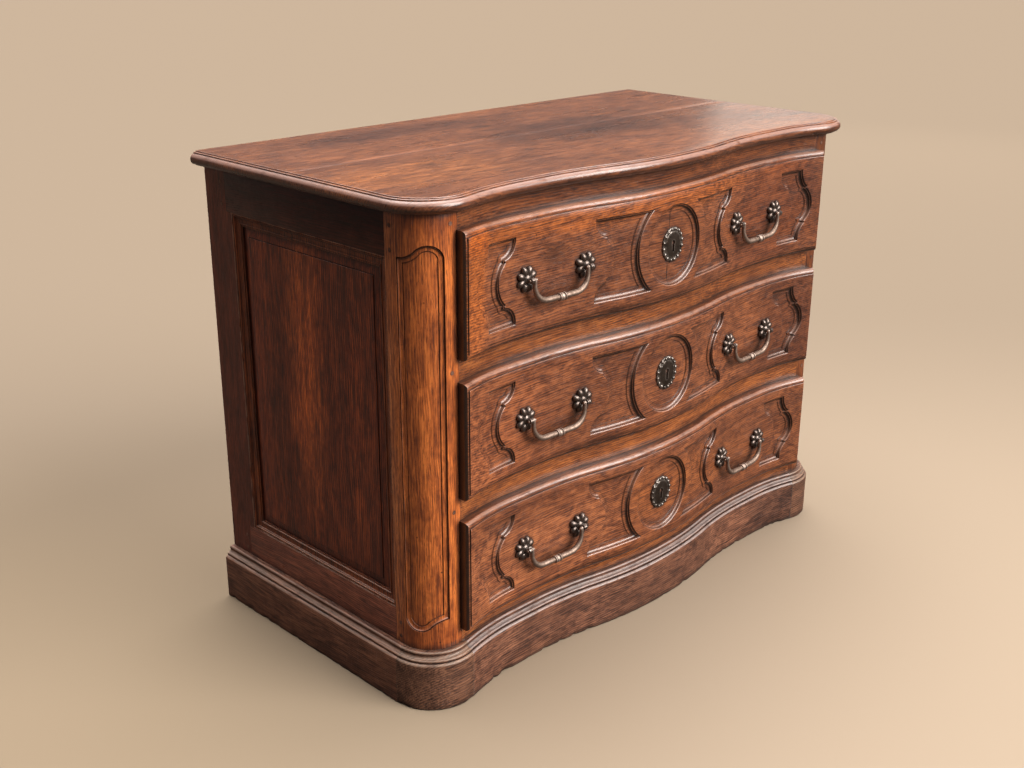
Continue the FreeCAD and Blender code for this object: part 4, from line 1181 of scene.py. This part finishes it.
def makePost(p, side, word, seed):
    # drawn flat from the joint with the side to the drawer opening, then bent round the corner
    begin = alongSide + plan["postBackY"] - cornerY
    width = begin - alongUntil(0, 800, plan["openingHalf"])
    top = plan["underTop"]
    mesh = bmesh.new()
    block(mesh, (0, 0, 0), (width, p["depth"], top))
    front = faceToward(mesh, -1)
    insetSteps(mesh, front, [(0.25, -0.15), (0.35, -0.1)])
    bmesh.ops.translate(mesh, vec=(0, p["soft"], 0), verts=[v for v in mesh.verts if v.co.y < 1])
    level = front.verts[0].co.y
    openFaces(mesh, front)
    sinkOutline(mesh, postOutline(p), postEdge, level, 0.0)
    fillOpen(mesh)
    slices(mesh, 0, 0.0, width, p["slice"])
    slices(mesh, 2, 0.0, top, p["sliceHigh"])
    for v in mesh.verts:
        u, y, z = v.co
        if y > p["depth"] - nearly:
            x, y = postInner(u / width)
        else:
            out = -y
            if y < p["planedTo"]:
                out += unevenness((u, 0, z * 0.4), seed, *p["planed"]) - p["planed"][1]
            x, y = planPoint(begin - u, min(0.0, out))
        v.co = (side * x, y, z)
    name = "front_post_" + word
    finishPiece(mesh, name + "_carved", "carcass", postWood, name, 34)


print("posts")
for side, word in sides:
    makePost(postLook, side, word, 1.5 + side / 2)

sideLook = {
    "lowY": -195.75,
    "highY": 244.75,
    "lowZ": 178.0,
    "highZ": 825.0,
    "moulding": 23.0,
    "deep": 20.0,
    "opening": 19.5,
    "lip": 11.0,
    "tongue": 6.0,
    "gap": 0.2,
    "raised": [(0.8, 0.0), (14.6, -3.0), (0.9, 0.0), (0.5, 0.7), (0.4, 0.0), (0.3, -1.9), (0.4, -0.35),
               (0.7, -0.1)],
    "planed": (90.0, 0.35),
    "railLowY": -195.75,
    "railHighY": 260.75,
    "rails": {"top": (825.0, 905.0), "bottom": (60.0, 178.0)},
    "railDeep": 30.0,
}
sideMoulding = ([(0.15, 0.0), (0.35, 0.35), (1.6, 0.0), (0.3, 1.8), (0.9, 0.0), (0.4, -1.1)]
                + quarterRound(2.6, 4) + [(0.9, 0.0), (0.25, 0.6)] + cove(8.6, 2.2, 8)
                + [(0.7, 0.0), (0.5, -1.2), (0.9, -0.3), (0.9, 0.3), (0.5, 1.1), (0.3, 0.9)])


def finishSide(mesh, side, name, ending, wood):
    # drawn in X and Z looking to -Y, then turned to face the side
    for v in mesh.verts:
        along, depth, z = v.co
        v.co = (side * (plan["halfWidth"] - depth), along, z)
    finishPiece(mesh, name + ending, "carcass", wood, name, 30)


def makeSide(s, side, word):
    mesh = bmesh.new()
    block(mesh, (s["lowY"], 0.0, s["lowZ"]), (s["highY"], s["deep"], s["highZ"]))
    face = faceToward(mesh, -1)
    used = sum(width for width, drop in sideMoulding)
    insetSteps(mesh, face, sideMoulding + [(s["moulding"] - used, 0.0), (0.05, 0.0)])
    insetSteps(mesh, face, [(0.05, s["opening"] - face.verts[0].co.y)])
    finishSide(mesh, side, "side_moulding_" + word, "_run", mouldWood)
    mesh = bmesh.new()
    edge = s["moulding"] + s["gap"]
    block(mesh, (s["lowY"] + edge, s["lip"], s["lowZ"] + edge),
          (s["highY"] - edge, s["lip"] + s["tongue"], s["highZ"] - edge))
    insetSteps(mesh, faceToward(mesh, -1), s["raised"])
    slices(mesh, 0, s["lowY"], s["highY"], 26.0)
    slices(mesh, 2, s["lowZ"], s["highZ"], 32.0)
    for v in mesh.verts:
        if v.co.y < s["lip"] - 2:
            v.co.y += unevenness((v.co.x, 0, v.co.z * 0.35), 3.0 + side, *s["planed"])
    finishSide(mesh, side, "side_panel_" + word, "_raised", panelWood)


def makeSideRails(s, side, word):
    x = sorted((side * plan["halfWidth"], side * (plan["halfWidth"] - s["railDeep"])))
    for place, z in s["rails"].items():
        name = "side_rail_" + place + "_" + word
        mesh = bmesh.new()
        block(mesh, (x[0], s["railLowY"], z[0]), (x[1], s["railHighY"], z[1]))
        ease(mesh, mesh.edges[:], 0.5)
        finishPiece(mesh, name + "_planed", "carcass", sideRailWood, name)


print("sides")
for side, word in sides:
    makeSide(sideLook, side, word)

railLook = {
    "front_top_rail": (862.0, 905.0, "drawer_upper_lock_bolt"),
    "front_divider_upper": (601.5, 660.0, "drawer_middle_lock_bolt"),
    "front_divider_lower": (344.25, 405.25, "drawer_lower_lock_bolt"),
    "front_bottom_rail": (60.0, 148.0, None),
}
railShape = {"deep": 45.0, "soft": 0.5, "endGap": 0.2, "slice": 11.0}
keeperLook = {"gap": 0.4, "deep": 14.0, "reach": 40.0}


def cutKeeper(mesh, k, bolt, low):
    # Mortise for the bolt in the underside of a rail
    first, last = (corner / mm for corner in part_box(bolt))
    ends = [first.x - k["gap"], last.x + k["gap"], first.y - k["gap"], last.y + k["gap"]]
    cuts = [((x, 0, 0), (1, 0, 0)) for x in ends[:2]] + [((0, y, 0), (0, 1, 0)) for y in ends[2:]]

    def under(x0, x1, y0, y1):
        return [f for f in mesh.faces if max(abs(v.co.z - low) for v in f.verts) < nearly
                and x0 < f.calc_center_median().x < x1 and y0 < f.calc_center_median().y < y1]

    for spot, way in cuts:
        faces = under(-k["reach"], k["reach"], -1e4, 1e4)
        around = {e for f in faces for e in f.edges} | {v for f in faces for v in f.verts}
        cut(mesh, spot, way, geom=faces + list(around))
    mouth = bmesh.ops.dissolve_faces(mesh, faces=under(*ends))["region"]
    floor = bmesh.ops.extrude_discrete_faces(mesh, faces=mouth)["faces"]
    bmesh.ops.translate(mesh, vec=(0, 0, k["deep"]), verts=list({v for f in floor for v in f.verts}))


def makeFrontRail(r, name, low, high, bolt):
    deep, soft = r["deep"], r["soft"]
    profile = [(deep, low), (soft, low), (0.0, low + soft), (0.0, high - soft), (soft, high), (deep, high)]
    reach = plan["openingHalf"] - r["endGap"]
    mesh = bmesh.new()
    extrude(mesh, faceOf(mesh, [(-reach, y, z) for y, z in profile]), (2 * reach, 0, 0))
    slices(mesh, 0, -reach, reach, r["slice"])
    for v in mesh.verts:
        v.co.y = frontY(v.co.x, -v.co.y)
    if bolt:
        cutKeeper(mesh, keeperLook, bolt, low)
    finishPiece(mesh, name + "_planed", "carcass", railWood, name)


print("rails")
for name, (low, high, bolt) in railLook.items():
    makeFrontRail(railShape, name, low, high, bolt)
for side, word in sides:
    makeSideRails(sideLook, side, word)

handleLook = {
    "centre": 299.0,
    "spacing": 143.0,
    "reach": 16.0,              # line of the pins in front of the field
    "drop": 41.0,
    "corner": 30.0,
    "endRadius": 3.5,
    "middleRadius": 5.5,
    "armInset": 7.1,            # from the eye's middle to the arm of the bail
    "straight": 34.0,
    "sag": 0.4,
    "petals": 8,
    "petalLong": 9.2,
    "petalWide": 6.6,
    "petalHigh": 5.6,
    "petalReach": 14.6,
    "petalOff": 2.6,
    "petalVaries": 0.08,
    "pinBall": 3.4,
    "slopeStep": 18.0,
}
# Turned parts of the handles: (radius, height) about their own axis
turned = {
    "rose": [(0, 0.4), (15.5, 0.4), (16.5, 1.0), (16.0, 2.2), (9.5, 3.4), (8.2, 5.6), (6.4, 7.4),
             (4.0, 8.4), (0, 8.8)],
    "eye": [(2.4, -3.5), (4.6, -3.5), (5.2, -2.9), (5.2, 2.9), (4.6, 3.5), (2.4, 3.5), (2.4, -3.5)],
    "neck": [(0, 4.6), (3.6, 4.6), (3.2, 9.0), (2.6, 11.6), (0, 11.6)],
    "stud": [(0, -2.0), (2.6, -2.0), (2.6, 45.0), (2.2, 46.0), (0, 46.0)],
    "nut": [(0, 40.3), (6.4, 40.3), (7.0, 40.9), (7.0, 42.6), (6.4, 43.2), (0, 43.2)],
    "pin": [(0, -4.0), (2.2, -4.0), (2.2, 12.0), (1.8, 12.6), (0, 12.6)],
}
halfKnop = [(7.2, 0.0), (7.1, 1.4), (6.6, 3.0), (5.8, 3.9), (5.7, 4.4), (7.3, 5.0), (7.8, 6.1),
            (7.3, 7.3), (5.6, 8.0), (0, 8.0)]
turned["knop"] = [(r, -z) for r, z in halfKnop[:0:-1]] + halfKnop
axes = {
    "front": Matrix.Rotation(math.pi / 2, 4, "X"),
    "back": Matrix.Rotation(-math.pi / 2, 4, "X"),
    "right": Matrix.Rotation(math.pi / 2, 4, "Y"),
    "left": Matrix.Rotation(-math.pi / 2, 4, "Y"),
}


def handlePlace(level):
    # Turn and middle of the right handle of one drawer
    h, out = handleLook, frontLook["proud"]
    ends = [h["centre"] - h["spacing"] / 2, h["centre"] + h["spacing"] / 2]
    first, last = [Vector((x, frontY(x, out), 0)) for x in ends]
    way = last - first
    middle = (first + last) / 2 + Vector((0, 0, middleZ(level)))
    return Matrix.Translation(middle) @ Matrix.Rotation(math.atan2(way.y, way.x), 4, "Z"), way.length / 2


def addBall(mesh, place, scale, turn=Matrix(), detail=3):
    matrix = Matrix.Translation(place) @ turn @ Matrix.Diagonal((*scale, 1))
    bmesh.ops.create_icosphere(mesh, subdivisions=detail, radius=1.0, matrix=matrix)


def addTurned(mesh, kind, place, axis, segments=24):
    # A turned part, closed at both ends on its axis
    own = bmesh.new()
    verts = [own.verts.new((r, 0, z)) for r, z in turned[kind]]
    edges = [own.edges.new(pair) for pair in zip(verts, verts[1:])]
    bmesh.ops.spin(own, geom=verts + edges, axis=(0, 0, 1), cent=(0, 0, 0), steps=segments,
                   angle=2 * math.pi, use_merge=True)
    bmesh.ops.remove_doubles(own, verts=own.verts[:], dist=1e-4)
    bmesh.ops.recalc_face_normals(own, faces=own.faces[:])
    takeIn(mesh, own, Matrix.Translation(place) @ axes[axis])


def mirrored(mesh, side):
    if side < 0:
        bmesh.ops.scale(mesh, vec=(-1, 1, 1), verts=mesh.verts[:])
    return mesh


def makeMounts(level, side):
    h, out = handleLook, frontLook["proud"]
    place, half = handlePlace(level)
    mesh = bmesh.new()
    for end in (-1, 1):
        x = h["centre"] + end * h["spacing"] / 2
        step = h["slopeStep"]
        slope = (frontY(x + step, out) - frontY(x - step, out)) / (2 * step)
        rose = bmesh.new()
        addTurned(rose, "rose", Vector(), "front", 32)
        for i in range(h["petals"]):
            angle = 2 * math.pi * (i + 0.5) / h["petals"]
            size = 1.0 + h["petalVaries"] * math.sin(3.1 * i + x)
            reach = h["petalReach"]
            spot = Vector((reach * math.cos(angle), -h["petalOff"], reach * math.sin(angle)))
            addBall(rose, spot, (h["petalLong"] * size, h["petalHigh"], h["petalWide"]),
                    Matrix.Rotation(-angle, 4, "Y"))
        takeIn(mesh, rose, Matrix.Translation(Vector((x, frontY(x, out), place.translation.z)))
               @ Matrix.Rotation(math.atan(slope), 4, "Z"))
        stem = bmesh.new()
        spot = Vector((end * half, 0, 0))
        addTurned(stem, "eye", spot - Vector((0, h["reach"], 0)), "right")
        addTurned(stem, "neck", spot, "front")
        addTurned(stem, "stud", spot, "back", 16)
        addTurned(stem, "nut", spot, "back", 6)
        takeIn(mesh, stem, place)
    return mirrored(mesh, side)


def bailPath(h, arm):
    # From the left eye down round the corner to the middle, then the same mirrored
    corner, drop = h["corner"], h["drop"]
    through = corner * (1 - math.sqrt(0.5))
    points = [(-arm, 0.0), (-arm, -4.0)]
    points += arcSteps((-arm, corner - drop), (through - arm, through - drop), (corner - arm, -drop), 14)
    points += [(x, -drop - h["sag"] * (1 - abs(x) / h["straight"])) for x in (-22.0, -10.0, 0.0)]
    return points + [(-x, z) for x, z in points[-2::-1]]


def makeBail(level, side):
    h = handleLook
    place, half = handlePlace(level)
    arm = half - h["armInset"]
    points = bailPath(h, arm)
    curve = bpy.data.curves.new("bailLine", "CURVE")
    curve.dimensions = "3D"
    curve.bevel_depth = 1.0
    curve.bevel_resolution = 6
    curve.use_fill_caps = True
    line = curve.splines.new("POLY")
    line.points.add(len(points) - 1)
    for point, (x, z) in zip(line.points, points):
        point.co = (x, 0, z, 1)
        swell = min(1.0, max(0.0, (-z - 8) / (h["drop"] - 14)))
        waist = 0.5 * math.exp(-((abs(x) - 9.0) / 6.0) ** 2) * (z < -h["drop"] + 2)
        point.radius = h["endRadius"] + (h["middleRadius"] - h["endRadius"]) * swell - waist
    lineObject = placeObject("bailLine", curve)
    data = bpy.data.meshes.new_from_object(lineObject)
    mesh = bmesh.new()
    mesh.from_mesh(data)
    bpy.data.objects.remove(lineObject)
    bpy.data.curves.remove(curve)
    bpy.data.meshes.remove(data)
    addTurned(mesh, "knop", Vector((0, 0, -h["drop"] - h["sag"])), "right")
    for end, axis in ((-1, "left"), (1, "right")):
        addTurned(mesh, "pin", Vector((end * arm, 0, 0)), axis, 16)
        addBall(mesh, Vector((end * arm, 0, 0.3)), [h["pinBall"]] * 3)
    bmesh.ops.translate(mesh, vec=(0, -h["reach"], 0), verts=mesh.verts[:])
    bmesh.ops.transform(mesh, matrix=place, verts=mesh.verts[:])
    return mirrored(mesh, side)


plateLook = {
    "width": 62.0,
    "height": 68.0,
    "lobes": 16,
    "lobe": 1.6,
    "off": 0.4,
    "body": 1.44,
    "bead": 3.6,
    "beadHigh": 2.4,
    "beadOff": 1.92,
    "beadVaries": 0.15,
    "beadReach": 0.93,
    "dished": [(0.4, -0.3), (3.8, -0.2), (0.5, 0.9), (1.2, 0.1), (0.6, -0.9), (1.2, -0.35), (3.0, -0.5)],
}


def makePlate(p, level):
    middle = middleZ(level)
    ground = frontLook["proud"] - sum(drop for width, drop in carvedEdge)
    halfX, halfZ = p["width"] / 2 - p["lobe"], p["height"] / 2 - p["lobe"]
    angles = [2 * math.pi * i / p["lobes"] for i in range(p["lobes"])]
    corners = [(halfX * math.cos(a), halfZ * math.sin(a)) for a in angles]
    steps = corners[:1] + [bulge(a, b, -p["lobe"]) for a, b in zip(corners, corners[1:] + corners[:1])]
    mesh = bmesh.new()
    face = flatFace(mesh, [(x, z + middle) for x, z in traced(steps, 1.5)], 0.0)
    front = extrude(mesh, face, (0, -p["body"], 0))
    back = list(face.edges)
    openFaces(mesh, face)
    insetSteps(mesh, front, p["dished"])
    rim = list(front.edges)
    level0 = rim[0].verts[0].co.y
    openFaces(mesh, front)
    hole = flatFace(mesh, keyOutline(middle + keyLook["above"]), level0)
    rim += list(hole.edges)
    cap = extrude(mesh, hole, (0, -level0, 0))
    back += list(cap.edges)
    openFaces(mesh, cap, hole)
    fillLoops(mesh, rim)
    fillLoops(mesh, back, 1)
    for i in range(p["lobes"]):
        a = angles[i] + math.pi / p["lobes"]
        x, z = (half * p["beadReach"] for half in (halfX, halfZ))
        wide = p["bead"] * (1 + p["beadVaries"] * math.sin(2.7 * i))
        addBall(mesh, Vector((x * math.cos(a), -p["beadOff"], z * math.sin(a) + middle)),
                (wide, p["beadHigh"], p["bead"]), detail=2)
    for v in mesh.verts:
        v.co.y = frontY(v.co.x, ground + p["off"] - v.co.y)
    return mesh


backLook = {"planks": 3, "gap": 2.0, "soft": 2.2}


def makeBack(b):
    low, high = (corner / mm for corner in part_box("back_boards"))
    mesh = bmesh.new()
    height = (high.z - low.z) / b["planks"]
    for i in range(b["planks"]):
        foot = low.z + height * i + b["gap"] / 2
        block(mesh, (low.x, low.y, foot), (high.x, high.y, foot + height - b["gap"]))
    ease(mesh, mesh.edges[:], b["soft"])
    finishPiece(mesh, "back_planks", "carcass", backWood, "back_boards", 15)


print("back")
makeBack(backLook)

print("metalwork")
for level in frontLook["levels"]:
    body = "drawer_" + level
    both = makeMounts(level, 1)
    takeIn(both, makeMounts(level, -1))
    finishPiece(both, body + "_rosettes", body, handleIron, body + "_handle_mounts", 40)
    for side, word in sides:
        bail = body + "_bail_" + word
        finishPiece(makeBail(level, side), bail + "_cast", bail, bailIron, bail, 40)
    finishPiece(makePlate(plateLook, level), body + "_lockPlate", body, plateIron,
                body + "_escutcheon", 40)

# Pieces that keep their own shape, by the start of their names, then by the end
print("kept pieces")
starts = {"rear_post": stileWood, "frame_pegs": pegWood, "drawer_runners": innerDeepWood}
ends = {"_side_left": innerDeepWood, "_side_right": innerDeepWood, "_lock": lockIron, "_lock_bolt": lockIron}
for name, node in nodes.items():
    if node.hide_render:
        continue
    found = [wood for start, wood in starts.items() if name.startswith(start)]
    found += [finish for end, finish in ends.items() if name.endswith(end)]
    node.data.materials.clear()
    node.data.materials.append(found[0] if found else innerWood)

studio = {
    "floor": (0.283, 0.221, 0.162),
    # colour and place of the chest's painted shadow on the floor to its left
    "dim": (0.260, 0.198, 0.135),
    "dimPlace": (-1.25, 0.35, 0.0),
    "near": 1.42,               # painted pool of light on the floor in front of the chest
    "nearPlace": (0.1, -1.6, 0.0),
    "bounce": (0.07, 0.052, 0.040),
    "skyDark": (0.090, 0.086, 0.086),
    "skyBright": (5.6, 5.45, 5.35),
    "skyWay": (0.16, 0.22, 0.94),
    "skyFrom": 0.70,
    "seen": (0.605, 0.462, 0.335),
    "sunWay": (0.42, -1.0, 0.62),
    "sun": {"energy": 4.2, "angle": math.radians(45.0), "color": (1.0, 0.97, 0.93)},
    "panelWay": (5.8, 2.3, 1.5),
    "panel": {"energy": 12.0, "shape": "RECTANGLE", "size": 2.6, "size_y": 1.8, "color": (1.0, 0.93, 0.82)},
    "aim": (0, 0, 0.5),
}


def makeFloor(s):
    mesh = bmesh.new()
    bmesh.ops.create_grid(mesh, x_segments=8, y_segments=8, size=40.0)
    data = bpy.data.meshes.new("studioFloor")
    mesh.to_mesh(data)
    mesh.free()
    g = Graph(bpy.data.materials.new("studioFloor"))
    place = g.node("TexCoord").outputs["Object"]
    # painted pool of light: the floor is lighter in front of the chest
    lift = g.node("MapRange", {"Value": g.vector("DISTANCE", place, s["nearPlace"]), "From Min": 0.4,
                               "From Max": 3.0, "To Min": s["near"], "To Max": 1.0},
                  interpolation_type="SMOOTHSTEP").outputs["Result"]
    # painted shadow of the chest on the floor to its left
    shade = g.mix(g.band(g.vector("DISTANCE", place, s["dimPlace"]), 0.35, 1.6), s["dim"], s["floor"])
    tone = g.node("VectorMath", {0: shade, "Scale": lift}, operation="SCALE").outputs[0]
    # the camera sees a pale studio floor; the chest gets less light thrown back from it
    g.finish({"Base Color": g.mix(g.node("LightPath").outputs["Is Camera Ray"], s["bounce"], tone),
              "Roughness": 0.95, "Specular IOR Level": 0.0})
    data.materials.append(g.owner)
    placeObject("studioFloor", data)


def makeWorld(s):
    world = bpy.data.worlds.new("studio")
    bpy.context.scene.world = world
    g = Graph(world)
    light = g.tree.nodes["Background"]
    # an overcast sky, brightest overhead
    rise = g.vector("DOT_PRODUCT", g.node("TexCoord").outputs["Generated"], Vector(s["skyWay"]).normalized())
    g.give(light.inputs["Color"], g.mix(g.band(rise, s["skyFrom"], 1.0), s["skyDark"], s["skyBright"]))
    seen = g.node("Background", {"Color": s["seen"], "Strength": 1.0})
    path = g.node("LightPath").outputs
    either = g.math("MAXIMUM", path["Is Camera Ray"], path["Is Transmission Ray"])
    both = g.node("MixShader", {"Fac": either, 1: light.outputs[0], 2: seen.outputs[0]})
    g.give(g.tree.nodes["World Output"].inputs["Surface"], both.outputs[0])


def aimed(name, kind, way, at, settings):
    data = bpy.data.lights.new(name, kind)
    for key, value in settings.items():
        setattr(data, key, value)
    lamp = placeObject(name, data)
    lamp.location = Vector(at) + Vector(way)
    lamp.rotation_euler = (-Vector(way)).to_track_quat("-Z", "Y").to_euler()


viewpoint = {
    "place": (-1.8764, -1.75045, 1.3508),
    "yaw": 0.7887,
    "pitch": 0.3569,
    "roll": 0.0040,
    "lens": 44.73,
}


def makeCamera(c):
    yaw, pitch, roll = c["yaw"], c["pitch"], c["roll"]
    forward = Vector((math.sin(yaw) * math.cos(pitch), math.cos(yaw) * math.cos(pitch), -math.sin(pitch)))
    right = Vector((math.cos(yaw), -math.sin(yaw), 0))
    up = right.cross(forward)
    turnedRight = math.cos(roll) * right + math.sin(roll) * up
    turnedUp = -math.sin(roll) * right + math.cos(roll) * up
    data = bpy.data.cameras.new("camera")
    data.lens = c["lens"]
    data.sensor_width = 36.0
    data.clip_end = 200.0
    camera = placeObject("camera", data)
    turn = Matrix((turnedRight, turnedUp, -forward)).transposed().to_4x4()
    camera.matrix_world = Matrix.Translation(c["place"]) @ turn
    bpy.context.scene.camera = camera


print("studio")
makeFloor(studio)
makeWorld(studio)
aimed("skylight", "SUN", studio["sunWay"], studio["aim"], studio["sun"])
aimed("rearPanel", "AREA", studio["panelWay"], studio["aim"], studio["panel"])
makeCamera(viewpoint)
bpy.context.scene.view_settings.view_transform = "Standard"
